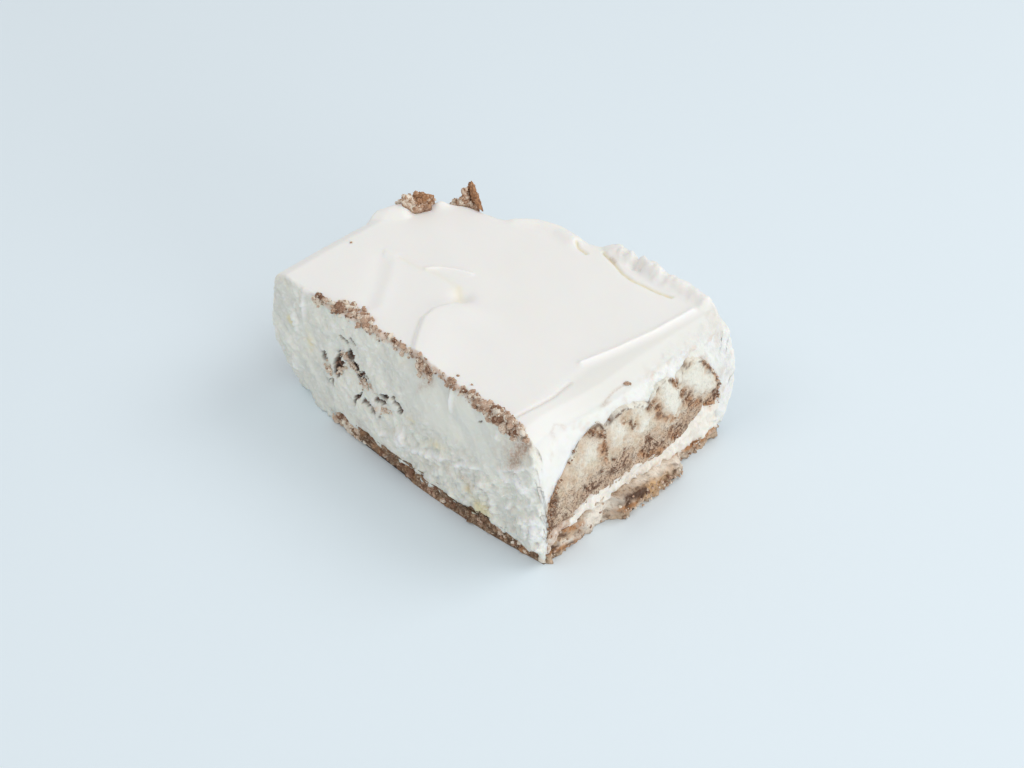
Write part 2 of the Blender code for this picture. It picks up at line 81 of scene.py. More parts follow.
FINGER_FLOOR = (
    (-34, 9.7), (-26, 9.9), (-19, 12.4), (-11, 13.2), (-3, 13.2), (5.5, 11.2), (12, 11.0),
    (18.5, 11.6), (22, 13.4), (26, 15.8), (34, 14.8),
)
SIDE_HEIGHT = 41.0  # height of the sides, by which the cut end's lean is measured
END_FALL = (1.6, 4)  # how far the top falls to either end, and over what length
TEAR_DEPTH = 19.0  # the torn corner falls towards this far below the top
TEAR_REACH = 12.0  # how far beyond the flat top's edge most of that fall takes
TORN_AWAY = 24.0  # a fall of the cream by which nothing of the fingers would be left

# Sponge fingers: (near side, far side, crown place and height, near drop, far drop, near and far roundness,
# end offset)
FINGERS = (
    (-33.5, -10.0, -14.0, 37.6, 15.5, 3.0, 1.6, 2.5, -0.5),
    (-10.0, 6.0, -5.5, 37.0, 2.2, 4.0, 2.5, 2.5, 0.4),
    (6.0, 17.5, 12.4, 37.0, 4.0, 4.6, 2.5, 2.5, 0.8),
    (17.5, 34.2, 22.4, 37.4, 3.4, 14.0, 2.5, 1.9, 0.5),
)
END_DROP = 2.2
FOOT_TUCK = (-25.0, -28.0)  # between these places along the slice the base draws back
FOOT_LANDING = (-28.6, -31.6)  # between these the cream comes down to the floor in front of it
TUCKED_NEAR_EDGE = -29.6  # the near side of the base where it is drawn back
BASE_CHUNK = (-8.6, 16.4, 4.2)  # the soaked lump of the base: its two sides, and how far it stands out
FAR_TOP_OF_BASE = 36.0  # where the top of the base is measured for the far side's foot

# Relief of the cream on top, as paths of (x, y)
SPATULA_RIDGE = ((34.4, -4.9), (37.7, 6.5), (40.0, 17.7), (41.3, 31.5))
LIFTED_LIP = ((-6.9, -11.8), (-8.9, -16.7), (-8.2, -21.7), (-4.4, -27.6), (-0.8, -32.5))
CURLED_EDGE = ((8.8, 36.0), (15.1, 36.2), (22.5, 36.0), (28.3, 35.8), (36.0, 36.6), (42.0, 36.0))
RAISED_RIM = ((-20.1, 26.6), (-14.9, 29.8), (-8.9, 31.6), (-2.5, 31.0))
DIMPLE = (-7.1, -7.9)
CREAM_MOUND = ((-52.0, 1.0), (-48.8, 4.2), (-46.6, 6.4))
CREAM_PEAK = (-41.6, 17.2)
SHORT_FOLD = ((-22.7, -6.0), (-20.4, -3.7), (-16.7, -1.4), (-12.1, 0.6))
SOFT_VALLEY = ((-34.0, -12.5), (-29.0, -19.0), (-23.5, -27.0))
DARK_CREASE = ((37.3, -12.0), (37.9, -19.0), (37.4, -25.0), (36.4, -31.0))
BROWN_CREASE = ((45.6, 0.8), (45.4, -4.2), (46.2, -11.2))
EDGE_CREASE = ((46.5, -18.0), (43.6, -24.5), (45.5, -30.0))
DIMPLE_TINT = ((-10.5, -6.2), (-6.4, -9.8))
VALLEY_TINT = ((-31.4, -8.0), (-25.1, -7.5), (-18.5, -5.6), (-11.0, -5.7), (-7.5, -8.0))
FAR_GAPS = (
    ((7.6, 32.6), (13.0, 31.3), (17.0, 29.9), (21.0, 29.4), (24.0, 29.9), (29.0, 30.5), (33.5, 31.6)),
    ((-0.9, 30.7), (0.8, 29.6), (4.2, 29.3)),
)
FAR_GAP_BROWN = ((10.6, 32.4), (12.4, 32.0))
RIDGE_LINE = ((-34, 35.5), (-5, 34.4), (31, 41.3))  # the line of the ridge from side to side, as (y, x)
BEYOND_RIDGE = (2.2, 13)  # how far the top falls beyond it, and over what length

# Lines on the top: (path, width, height or strength)
SOLID_LINES = ((SPATULA_RIDGE, 1.0, 0.38), (CURLED_EDGE, 2.2, 2.2), (RAISED_RIM, 2.4, 1.2))
FINE_LINES = (
    (SPATULA_RIDGE, 0.5, 0.27), (SHORT_FOLD, 0.7, 0.45), (SOFT_VALLEY, 2.6, -0.30),
    (DARK_CREASE, 0.4, -0.35), (BROWN_CREASE, 0.4, -0.35), (EDGE_CREASE, 0.4, -0.35),
    (VALLEY_TINT, 1.2, -0.2), *((gap, 0.4, -0.8) for gap in FAR_GAPS),
)
# Brown stains along lines on top; along the dark crease the brown is painted shade of the crease.
STAIN_AND_CREASE_SHADE_LINES = (
    (BROWN_CREASE, 0.25, 0.6), (DARK_CREASE, 0.3, 0.35), (EDGE_CREASE, 0.25, 0.3), (FAR_GAP_BROWN, 0.6, 0.6),
)
YELLOW_LINES = ((DIMPLE_TINT, 1.4, 0.28), (VALLEY_TINT, 0.9, 0.14), *((gap, 0.36, 0.9) for gap in FAR_GAPS))
# Painted highlights: glints along the spatula ridge, the short fold and beside the lifted lip.
PAINTED_GLINT_LINES = (
    (SPATULA_RIDGE, 0.28, 1.2), (SHORT_FOLD, 0.22, 1.2), (SHORT_FOLD[:2], 0.5, 1.2), (LIFTED_LIP, 0.3, 1.2),
)

# Torn hollows of the smeared side: (x, z, half length, half height, depth)
TORN_HOLLOWS = ((-24.0, 26.5, 6.5, 3.6, 1.5), (-10.0, 21.0, 6.0, 2.8, 1.2))

# Marks on the smeared side: (x, z, half length, half width, slant in degrees, strength)
HOLES = (
    (-22.0, 30.6, 1.7, 1.3, -30, 1.5),
    (-27.6, 27.2, 1.7, 1.1, 70, 1.3),
    (-18.8, 27.4, 3.3, 1.7, -25, 1.7),
    (-27.0, 24.2, 2.3, 1.4, 40, 1.6),
    (-20.8, 25.0, 2.8, 1.2, -25, 1.3),
    (-32.2, 24.2, 1.9, 1.0, -60, 1.4),
    (-27.4, 21.4, 1.5, 0.9, 20, 1.2),
    (-25.2, 34.4, 1.3, 0.6, -35, 1.1),
    (-21.4, 35.6, 1.3, 0.4, -40, 1.0),
    (-31.0, 17.3, 1.3, 0.6, 10, 1.1),
    (-28.5, 17.2, 1.5, 0.5, -75, 1.0),
    (-3.9, 24.0, 1.9, 1.1, -40, 1.6),
    (-8.3, 24.2, 1.4, 0.8, 10, 1.2),
    (-10.0, 21.2, 2.0, 0.9, 10, 1.5),
    (-13.4, 17.3, 3.0, 1.1, -10, 1.6),
    (-19.6, 16.2, 2.4, 0.7, 75, 1.2),
    (-17.6, 19.4, 1.2, 0.4, 60, 1.0),
    (29.3, 16.2, 0.7, 0.4, 45, 0.9),
    (27.0, 37.0, 0.8, 0.3, 10, 0.75),
)
TORN_CRUMB = (
    (-22.3, 26.9, 3.4, 1.2, -15, 1.2),
    (-25.7, 23.4, 2.0, 1.0, 45, 1.0),
    (-17.0, 24.0, 1.6, 1.8, 60, 0.9),
    (-13.0, 24.4, 1.6, 0.9, -30, 0.7),
    (-30.5, 21.5, 1.5, 2.0, 0, 0.6),
    (-9.5, 19.0, 3.4, 0.9, 10, 0.7),
    (-24.5, 29.0, 1.2, 1.6, 0, 0.8),
)
BROWN_SMEARS = (
    (42.4, 39.5, 4.2, 2.2, 70, 1.1),
    (40.6, 33.4, 4.4, 1.6, 66, 1.0),
    (38.0, 34.5, 6.0, 3.4, 50, 0.35),
    (7.0, 38.5, 3.2, 1.8, 60, 0.7),
    (4.0, 34.5, 2.2, 0.8, 60, 0.5),
    (15.0, 41.0, 2.6, 0.6, 85, 0.7),
    (22.4, 15.8, 1.5, 1.3, 0, 0.6),
    (24.9, 13.4, 1.3, 1.6, 20, 0.7),
    (17.0, 15.4, 1.0, 1.6, 0, 0.45),
    (-4.2, 14.8, 1.5, 0.7, 40, 0.5),
    (-18.6, 8.8, 1.0, 1.6, 0, 0.4),
)
YELLOW_PATCHES = (
    (28.4, 7.2, 2.4, 3.6, -20, 1.1),
    (24.6, 12.6, 1.2, 2.0, 20, 0.7),
    (12.0, 20.4, 3.2, 1.4, 10, 0.4),
    (2.0, 22.6, 2.2, 0.8, 0, 0.4),
    (-38.0, 26.0, 1.2, 3.4, 10, 0.5),
    (-45.4, 29.8, 0.9, 1.3, 20, 1.1),
)
WHITE_SMEARS = (
    (-1.8, 13.6, 1.7, 3.4, 0, 1.0),
    (4.5, 13.4, 4.0, 1.0, 20, 0.8),
    (12.2, 16.4, 4.0, 1.1, 25, 0.7),
    (15.9, 37.4, 0.9, 3.6, 0, 0.8),
    (41.0, 31.0, 6.5, 0.7, 38, 0.7),
    (33.0, 36.0, 1.0, 1.0, 0, 0.6),
    (32.5, 12.0, 0.8, 4.0, 10, 0.5),
    (21.0, 19.0, 3.0, 1.0, 30, 0.7),
    (26.0, 21.5, 2.4, 0.8, 10, 0.6),
    (36.5, 25.0, 3.4, 1.4, -10, 0.6),
    (43.0, 26.5, 3.6, 2.6, 10, 0.7),
    (38.0, 15.0, 2.2, 0.8, 60, 0.5),
    (-9.0, 11.6, 2.6, 1.2, 10, 0.6),
    (-40.6, 37.0, 0.8, 5.0, 4, 0.6),
    (-43.5, 30.0, 0.6, 4.0, 8, 0.6),
    (-46.0, 12.0, 1.6, 5.0, 0, 0.4),
    (47.0, 13.0, 4.0, 6.0, 0, 0.6),
)

# Specks on the top, as (x, y)
TOP_SPECKS = (
    (46.2, 1.3), (46.1, 1.0), (46.0, 0.7), (45.85, 0.4), (45.7, 0.1), (45.6, -0.2), (45.9, 0.9),
    (-46.0, -13.0), (20.0, -30.8), (15.0, -31.0),
)
SPECK_SIZE = 0.38
LIP_START = 45  # past this place the top rounds off to the cut
LIP_FALL = (46, 1.75)  # a place and how far the top has fallen there; it falls a millimetre for each one on

# Marks on the cut sponge: (y, z, half length, half width, slant in degrees, strength)
PALE_CRUMB = (
    (14.4, 27.4, 8.0, 2.9, -69, 1.7),
    (26.2, 27.4, 8.8, 4.2, -49, 1.7),
    (-15.8, 26.6, 5.4, 3.8, 40, 0.8),
    (-6.0, 28.6, 6.0, 3.6, -62, 0.9),
    (3.6, 25.0, 3.2, 2.8, 0, 1.1),
    (2.4, 30.6, 3.0, 2.2, -20, 0.8),
    (-24.0, 24.6, 5.0, 3.5, -30, 0.3),
    (-0.4, 15.4, 1.6, 3.4, 0, 0.5),
)
SOAKED_CRUMB = (
    (-31.0, 15.8, 9.0, 2.4, 78, 0.9),
    (-27.0, 11.4, 3.8, 3.8, 0, 0.8),
    (-16.0, 14.8, 5.4, 2.8, -5, 1.1),
    (-5.6, 17.0, 5.0, 3.6, -8, 1.1),
    (7.4, 14.6, 5.4, 2.6, -36, 1.1),
    (17.8, 14.6, 4.6, 3.2, -36, 1.1),
    (5.2, 19.4, 2.0, 1.3, -50, 1.1),
    (32.8, 17.4, 3.2, 3.0, -25, 1.1),
    (28.0, 17.2, 4.6, 1.8, -20, 0.9),
    (21.4, 22.4, 4.6, 2.2, -62, 1.1),
    (-13.6, 32.6, 1.8, 1.4, 0, 0.9),
    (-10.6, 25.0, 3.6, 1.2, 80, 0.8),
    (-7.2, 34.2, 3.0, 0.9, -8, 0.9),
    (-1.4, 28.2, 2.4, 1.1, -60, 0.9),
    (9.4, 26.6, 4.2, 1.1, -62, 0.8),
    (-20.0, 20.0, 9.0, 3.0, -10, 0.25),
)
BROWNED_RIMS = (
    ((15.8, 33.0), (17.6, 29.6), (20.0, 24.6), (22.2, 20.6), (25.4, 18.4)),
    ((27.6, 31.4), (30.0, 28.4), (32.2, 25.0), (33.6, 21.4), (33.2, 17.2)),
    ((7.8, 29.4), (9.2, 25.6), (10.8, 22.6), (13.0, 20.4), (17.5, 19.4)),
    ((24.6, 18.6), (28.0, 16.4), (31.5, 14.9), (34.2, 14.8)),
    ((-32.8, 9.8), (-33.4, 13.6), (-32.6, 18.0), (-31.0, 21.8), (-28.6, 25.2), (-26.4, 27.4)),
    ((-12.2, 32.4), (-10.8, 29.6), (-11.0, 26.0), (-10.2, 22.4)),
    ((-3.2, 30.0), (-1.0, 28.4), (0.4, 26.2)),
    ((2.6, 16.2), (5.0, 13.2), (8.0, 11.8), (11.0, 11.6)),
    ((14.2, 17.0), (15.2, 14.0), (17.4, 11.6)),
    ((-15.4, 33.6), (-13.2, 33.4)),
)
DARK_DOTS = (
    (-27.4, 26.2), (-29.4, 23.8), (-31.2, 21.4), (-30.6, 19.8), (-32.0, 17.6), (-32.6, 15.0), (-33.2, 12.4),
    (-23.4, 29.4), (-21.6, 31.0), (-14.0, 32.8), (-11.2, 30.4), (-15.4, 34.2), (-8.2, 33.6), (-5.4, 33.8),
    (-1.2, 28.6), (0.2, 26.6), (5.8, 31.4), (6.2, 29.4), (8.8, 27.6), (9.8, 25.0), (10.8, 22.8), (20.4, 35.2),
    (15.4, 32.8), (19.4, 26.2), (20.6, 23.6), (22.0, 21.4), (27.6, 31.0), (30.2, 27.8), (33.4, 21.0),
    (32.8, 23.0), (-8.0, 20.6), (-4.0, 21.2), (-12.6, 18.8), (-18.6, 17.2), (-8.6, 17.4), (3.4, 16.2),
    (4.6, 18.6), (6.4, 17.8), (14.2, 16.8), (15.2, 14.0), (16.8, 12.2), (33.2, 17.6), (31.6, 19.2),
)

# Crumbs along the top of the smeared side: (start, end, how far down, how far in, heap height, how many)
CRUMB_RUNS = (
    (-36.5, -29.0, 1.6, 1.2, 0.7, 120),
    (-30.0, -17.0, 0.8, 4.4, 0.7, 230),
    (-18.0, -4.0, 1.6, 1.2, 0.4, 150),
    (-4.0, 3.0, 1.7, 0.7, 0.4, 80),
    (2.6, 7.4, 5.0, 0.3, 0.5, 150),
    (7.4, 13.0, 0.8, 0.6, 0.2, 24),
    (13.0, 15.6, 2.2, 0.5, 0.3, 40),
    (15.6, 22.0, 1.4, 0.6, 0.3, 60),
    (21.0, 29.0, 2.2, 1.8, 0.5, 210),
    (27.6, 40.4, 3.4, 2.4, 0.9, 520),
    (40.0, 43.5, 2.2, 0.8, 0.3, 50),
)
CRUMB_SIZES = (0.13, 0.38)
CLUMP_SIZES = (0.5, 1.15)
CLUMPS_TO_AREA = 0.55  # clumps for each square millimetre that a run covers
ON_CLUMPS = 0.7  # share of the small crumbs that sit on clumps

# Marks on the cut end of the base: (y, z, half length, half width, slant in degrees, strength), then paths
BASE_FILM = (
    (-26.4, 3.2, 5.4, 1.1, -22, 1.0),
    (-14.2, 4.4, 6.0, 4.4, 0, 1.7),
    (7.4, 5.4, 8.4, 2.3, -10, 1.9),
    (-0.6, -3.4, 2.4, 1.2, -10, 1.2),
    (15.6, 0.8, 1.8, 2.6, 0, 1.0),
    (17.2, 3.6, 2.8, 1.5, 0, 0.8),
    (29.6, 3.2, 3.4, 1.0, 0, 0.5),
    (21.6, 1.2, 2.6, 1.0, 0, 0.5),
)
BASE_AMBER = ((3.0, -0.6, 3.8, 3.2, -15, 1.8), (8.6, 0.6, 2.6, 2.4, 0, 0.9), (-30.0, 4.6, 5.0, 3.0, -15, 0.5))
BASE_SHADE = (
    (-4.4, 2.6, 3.2, 1.6, -25, 1.7),
    (-0.4, 0.8, 1.8, 2.2, 0, 1.5),
    (13.8, 1.7, 2.4, 0.5, -20, 1.0),
    (-31.8, 4.0, 2.4, 1.0, 0, 1.2),
    (-27.4, 5.8, 2.4, 0.5, -20, 1.1),
    (-29.0, 1.4, 3.0, 0.5, -10, 1.1),
    (-24.0, 1.0, 1.4, 0.5, -20, 0.9),
    (-6.0, 0.2, 1.6, 1.2, -40, 0.9),
    (24.6, 3.4, 1.6, 1.4, 0, 0.5),
    (-11.0, 2.6, 2.2, 0.5, -30, 0.6),
)
BASE_RUST = (
    ((-29.5, 8.4), (-25.0, 7.0), (-20.5, 5.0)),
    ((-33.5, 4.2), (-28.0, 2.0), (-22.0, 0.6)),
    ((14.0, 6.0), (18.0, 4.6)),
    ((-8.4, 1.4), (-6.4, -0.6), (-4.2, -1.4), (-1.6, -1.0)),
    ((20.5, 4.4), (24.0, 3.4), (27.0, 2.2), (30.0, 3.4), (33.0, 4.2)),
)

# Torn sponge on the corner: (x, y, degrees from +X, half length, half width, height)
CORNER_LUMPS = ((-44.8, 11.2, 59, 5.2, 3.2, 4.2), (-38.2, 22.8, 12, 4.6, 2.4, 3.8))
LUMP_PALE = ((0.5, 0.2), (0.6, 1.2))  # how pale each is at its tail, and how far along that reaches
LUMP_GAP = 1.0  # clear space under them, measured upright
LUMP_LEAN = 0.35  # how much taller they are towards their heading
SHARD_START = (-29.0, 21.9)  # the low end of the upright flake
SHARD_HEADING = 160  # degrees from +X
SHARD_OUTLINE = ((0.0, 43.7), (4.0, 46.0), (7.6, 49.0), (8.8, 48.2), (9.6, 45.0), (9.0, 41.8), (4.6, 43.2))
SHARD_THICKNESS = 1.4
SHARD_RINGS = 24
SHARD_SPOKES = 90
LUMP_RINGS = 34
LUMP_SPOKES = 110
GRAINS_ON_LUMP = 900
GRAINS_ON_SHARD = 140
GRAINS_ON_DOT = 5
DOT_SPREAD = 0.5
GRAINS_ON_RIM = 3.0  # for each millimetre of it
RIM_SPREAD = 0.6

# Loose crumb along the side of the base, in a heap on it and across its cut end: (from, to, how many)
SIDE_CRUMBS = (-31, 49, 520)
HEAP_CRUMBS = (-31.5, -17, 90)
END_CRUMBS = (-33, 34, 150)

MARKS_FALL = 1.27  # how much lower the marks of the base's end lie for each millimetre that it stands out
SHARED_REACH = 0.15  # how far the fingers stand out of the cut where two meet
BORDER_OVERLAP = 0.5  # how far the layers run into each other, so that their borders wander with their relief

# Rough sizes of the layers, from which their numbers of points follow: width, height or both
CREAM_WIDTH = 70
FINGER_HEIGHT = 25
FILLING_SIZE = (67, 6)
BASE_SIZE = (71, 6)

# Fineness of the meshes, in millimetres between points
CREAM_STEP = 0.43
CUT_STEP = 0.32
BASE_STEP = 0.4
EDGE_ROUNDING = 1.3
END_STEPS = (1.3, 0.95, 0.65, 0.4, 0.2, 0.07, 0.0)
END_ROUNDING = 1.2
COARSE_STATIONS = 12
CORNER_HANG = 1.8  # how much farther down the cream reaches at the near corner
CREAM_CLEARANCE = 0.05  # how far above the floor the cream ends where it comes down to it
BELOW_ROUNDING = 0.25  # how far below the top's rounding the sides' last points lie
FLOOR_GAP = 0.03  # how far above the floor the lowest point of a grain stays
OVERLAP = 0.3  # how far a layer reaches under its neighbour, so that no gap shows between them

# Camera
CAMERA_PLACE = (323.845, -321.556, 427.718)
CAMERA_TILT = 47.52
CAMERA_TURN = 45.0
CAMERA_ROLL = -0.55
CAMERA_LENS = 77.34
SENSOR_WIDTH = 36.0

# Lights, each (place, size): from behind, over the smeared side and on the cut end
KEY = ((420.0, 620.0, 900.0), 700.0)
OVERHEAD = ((-150.0, -450.0, 800.0), 450.0)
SIDE = ((1000.0, -140.0, 170.0), 500.0)
SURROUNDINGS = (1.0, 0.995, 0.99)
FLOOR_SIZE = 4000.0
GLOW_REACH = (1.0, 0.72, 0.5)  # how far red, green and blue light travel, next to each other
LATTICE = 32  # cells of the noise before it repeats


def curve(knots, place):
    """A smooth curve through (place, value) pairs, level past its ends."""
    places, values = np.array(knots, float).T
    place = np.clip(place, places[0], places[-1])
    slopes = np.gradient(values, places)
    span = np.clip(np.searchsorted(places, place) - 1, 0, len(places) - 2)
    width = places[span + 1] - places[span]
    t = (place - places[span]) / width
    return (
        values[span] * (1 + 2 * t) * (1 - t) ** 2
        + values[span + 1] * t**2 * (3 - 2 * t)
        + width * t * (1 - t) * (slopes[span] * (1 - t) - slopes[span + 1] * t)
    )


def smoothstep(start, end, value):
    """0 at start, 1 at end, level beyond them and smooth from one to the other."""
    t = np.clip((value - start) / (end - start), 0, 1)
    return t * t * (3 - 2 * t)


def blend(low, high, share):
    """What lies a share of the way from low to high."""
    return low + share * (high - low)


def hump(value, centre, half_width):
    """1 at a centre, fading to 0 on either side of it."""
    return np.exp(-(((value - centre) / half_width) ** 2))


def away(a, b, path):
    """Distance from a path of points, and how far to its left, negative to its right."""
    nearest = np.full(np.broadcast(a, b).shape, np.inf)
    side = np.zeros(nearest.shape)
    for (ax, ay), (bx, by) in zip(path, path[1:]):
        dx, dy = bx - ax, by - ay
        t = np.clip(((a - ax) * dx + (b - ay) * dy) / (dx * dx + dy * dy), 0, 1)
        distance = np.hypot(a - ax - t * dx, b - ay - t * dy)
        left = (dx * (b - ay) - dy * (a - ax)) / np.hypot(dx, dy)
        closer = distance < nearest
        nearest = np.where(closer, distance, nearest)
        side = np.where(closer, left, side)
    return nearest, side


def lines(a, b, marks):
    """Sum of soft lines, each (path, width, strength)."""
    return sum(strength * hump(away(a, b, path)[0], 0, width) for path, width, strength in marks)


def spots(a, b, marks):
    """Sum of soft spots, each (place, place, half length, half width, slant in degrees, strength)."""
    total = np.zeros(np.broadcast(a, b).shape)
    for place_a, place_b, length, width, slant, strength in marks:
        c, s = math.cos(math.radians(slant)), math.sin(math.radians(slant))
        along = (a - place_a) * c + (b - place_b) * s
        across = (b - place_b) * c - (a - place_a) * s
        total = total + strength * np.exp(-((along / length) ** 2) - (across / width) ** 2)
    return total


def at(x, y, z):
    """Points from their coordinates, each an array or a single number."""
    return np.stack(np.broadcast_arrays(x, y, z), axis=-1)


def wobble(points, size, seed, octaves=1):
    """Smooth noise between about -1 and 1 at an array of points, with features of a given size."""
    total, weight = 0.0, 1.0
    for octave in range(octaves):
        lattice = np.random.default_rng(seed + octave).uniform(-1, 1, (LATTICE, LATTICE, LATTICE))
        place = np.asarray(points) / size * 2**octave + 0.37 * LATTICE
        cell = np.floor(place).astype(int)
        t = place - cell
        t = t * t * (3 - 2 * t)
        value = 0.0
        for corner in itertools.product((0, 1), repeat=3):
            share = np.prod(np.where(np.array(corner) == 1, t, 1 - t), axis=-1)
            index = (cell + np.array(corner)) % LATTICE
            value = value + share * lattice[index[..., 0], index[..., 1], index[..., 2]]
        total = total + weight * value
        weight *= 0.5
    return total * 1.3


def pores(points, size, seed):
    """Distance to the nearest of scattered pores, in sizes: 0 in the middle of one."""
    place = np.asarray(points) / size + 0.37 * LATTICE
    cell = np.floor(place).astype(int)
    jitter = np.random.default_rng(seed).uniform(0.1, 0.9, (LATTICE, LATTICE, LATTICE, 3))
    nearest = np.full(place.shape[:-1], np.inf)
    for offset in itertools.product((-1, 0, 1), repeat=3):
        other = cell + np.array(offset)
        index = other % LATTICE
        spot = other + jitter[index[..., 0], index[..., 1], index[..., 2]]
        nearest = np.minimum(nearest, np.linalg.norm(place - spot, axis=-1))
    return nearest


def end_swell(station, y, z):
    """How far a point moves along X because the two ends aren't flat."""
    share = (station / HALF_LENGTH) ** 2
    lean = curve(CUT_END_LEAN, y) * np.clip(z / SIDE_HEIGHT, 0, 1.1) ** 3
    draped = 2.0 * hump(y, -35, 5) * hump(z, 36, 6)
    far_bulge = 1.2 * hump(y, 40, 6) * hump(z, 20, 12)
    cut = -lean + draped + far_bulge
    hidden = -curve(HIDDEN_END_SWELL, z) * (0.3 + 0.7 * smoothstep(10, -30, y))
    return share * np.where(station > 0, cut, hidden)


def corner_draw(station, y):
    """How far the hidden far corner is drawn in along Y."""
    return 4.0 * smoothstep(-10, -50, station) * np.clip(y / 36.0, 0, 1.1)


def placed(station, y, z):
    """Points of the slice from a station along it and a place in its cross-section."""
    return at(station + end_swell(station, y, z), y - corner_draw(station, y), z)


def through_levels(foot, middle, top, x, z):
    """A side's outline at height z, from its outlines at the foot, half way up and at the top."""
    t = np.clip(z / TOP_HEIGHT, 0, 1)
    low, mid, high = curve(foot, x), curve(middle, x), curve(top, x)
    return low * (1 - t) * (1 - 2 * t) + mid * 4 * t * (1 - t) + high * t * (2 * t - 1)


def near_side(x, z):
    """The smeared side: its outlines, the bulge at the near corner and the torn hollows."""
    y = through_levels(NEAR_FOOT, NEAR_MIDDLE, NEAR_TOP, x, z)
    y = y - 2.0 * hump(x, 45, 7) * hump(z, 34, 6)
    for hollow_x, hollow_z, length, height, depth in TORN_HOLLOWS:
        y = y + depth * hump(x, hollow_x, length) * hump(z, hollow_z - 0.35 * (x - hollow_x), height)
    return y


def far_side(x, z):
    """The side away from the camera."""
    return through_levels(FAR_FOOT, FAR_MIDDLE, FAR_TOP, x, z)


def corner_fall(x, y):
    """How far the torn far corner lies below the flat top."""
    beyond = np.clip(y - curve(FLAT_TOP_EDGE, x), 0, None)
    return TEAR_DEPTH * (1 - np.exp(-(beyond**2) / (beyond + 1.5) / TEAR_REACH))


def past_ridge(x, y):
    """How far a place lies beyond the ridge, towards the cut end."""
    places, line = np.array(RIDGE_LINE).T
    return x - np.interp(y, places, line)


def top_height(x, y):
    """Height of the cream on top, with what the spatula left."""
    fall, length = BEYOND_RIDGE
    z = TOP_HEIGHT - corner_fall(x, y) + lines(x, y, SOLID_LINES)
    z = z - fall * smoothstep(0, length, past_ridge(x, y))
    near, side = away(x, y, LIFTED_LIP)
    lifted = smoothstep(-0.8, 1.0, side) * smoothstep(-6.0, -12.0, y)
    z = z + 1.3 * lifted * hump(side, 0, 12) * hump(near, 0, 14)
    z = z - 1.8 * hump(np.hypot(x - DIMPLE[0], y - DIMPLE[1]), 0, 2.6)
    z = z + 2.8 * (1 - smoothstep(0.8, 4.6, away(x, y, CREAM_MOUND)[0]))
    return z + 2.4 * hump(np.hypot(x - CREAM_PEAK[0], y - CREAM_PEAK[1]), 0, 2.4)


def spread_marks(x, y):
    """What the spatula left that is too fine for the solid."""
    flat = at(x, y, 0.0)
    near, side = away(x, y, SOFT_VALLEY)
    z = 0.14 * wobble(flat * (0.5, 1.0, 1.0), 9.0, 41, 2) + lines(x, y, FINE_LINES)
    z = z + 0.25 * hump(near, 3.5, 2.0) * (side > 0)
    curled = smoothstep(4.0, 1.5, away(x, y, CURLED_EDGE)[0])
    curled = curled * (0.3 + hump(x, 19, 8))
    return z + curled * (0.8 * wobble(flat, 5.3, 43, 3) + 0.9 * wobble(flat, 2.1, 45, 3))


def finger_floor(y):
    """Height of the border between the fingers and the filling."""
    place, width, sag = FLOOR_SAG
    return curve(FINGER_FLOOR, y) - sag * hump(y, place, width)


def finger_crown(finger, x, y):
    """Height of a finger's top, lower towards its sides, at the ends and under the torn corner."""
    near, far, peak, crown, near_drop, far_drop, near_roundness, far_roundness, _ = finger
    t = np.where(y < peak, (y - peak) / (peak - near), (y - peak) / (far - peak))
    drop = np.where(t < 0, near_drop * abs(t) ** near_roundness, far_drop * abs(t) ** far_roundness)
    drop = drop + END_DROP * smoothstep(HALF_LENGTH - 14, HALF_LENGTH, abs(x))
    floor = curve(FINGER_FLOOR, y)
    return floor + (crown - drop - floor) * (1 - corner_fall(x, y - corner_draw(x, y)) / TORN_AWAY)


def row_crown(x, y):
    """Height of the row of fingers, the higher where two meet."""
    crown = np.full(np.broadcast(x, y).shape, -np.inf)
    for finger in FINGERS:
        inside = (y >= finger[0]) & (y <= finger[1])
        crown = np.maximum(crown, np.where(inside, finger_crown(finger, x, y), -np.inf))
    return crown


def tuck(station):
    """1 where the base is drawn back behind the cream, 0 where it shows."""
    return smoothstep(*FOOT_TUCK, station)


def base_top(station, y):
    """Top of the base: the level of the band at its near edge, and of the filling farther in."""
    rise_start = -33.0 + 3.6 * tuck(station)
    band = curve(BAND_TOP, station)
    return blend(band, curve(BASE_TOP, y), smoothstep(rise_start, rise_start + 3.5, y))


def on_chunk(y):
    """1 across the soaked lump of the base and 0 beside it."""
    near, far, _ = BASE_CHUNK
    return smoothstep(near - 2, near + 1, y) * smoothstep(far + 2, far - 1, y)


def base_near_edge(station):
    """The base's near side, which draws back behind the cream at the hidden end."""
    shown = curve(NEAR_FOOT, station) + 0.5
    return blend(shown, TUCKED_NEAR_EDGE, tuck(station))


def cream_foot(station):
    """Height of the cream's ragged lower edge on the smeared side."""
    hanging = 1.3 * smoothstep(-0.2, 0.8, wobble(at(station, 0, 0), 3.2, 47, 3))
    shown = curve(BAND_TOP, station) - OVERLAP - hanging - CORNER_HANG * smoothstep(46.5, 50, station)
    return blend(shown, CREAM_CLEARANCE, smoothstep(*FOOT_LANDING, station))


def evenly(low, high, size):
    """Places from low to high, about size apart."""
    return np.linspace(low, high, max(2, int(round((high - low) / size)) + 1))


def stations(size):
    """Places along the slice, crowded within the last millimetre at either end."""
    crowded = HALF_LENGTH - np.array(END_STEPS)
    inner = evenly(-crowded[0], crowded[0], size)[1:-1]
    return np.concatenate([-crowded[::-1], inner, crowded])


def ragged(points, share=1.0):
    """Points shifted a little in the cross-section, all layers alike, so that their borders wander."""
    shift = np.zeros_like(points)
    shift[..., 1] = 0.35 * wobble(points, 3.4, 71, 2)
    shift[..., 2] = 0.50 * wobble(points, 3.1, 75, 2) * np.clip(points[..., 2] / 4.0, 0, 1)
    return points + shift * np.asarray(share)[..., None]


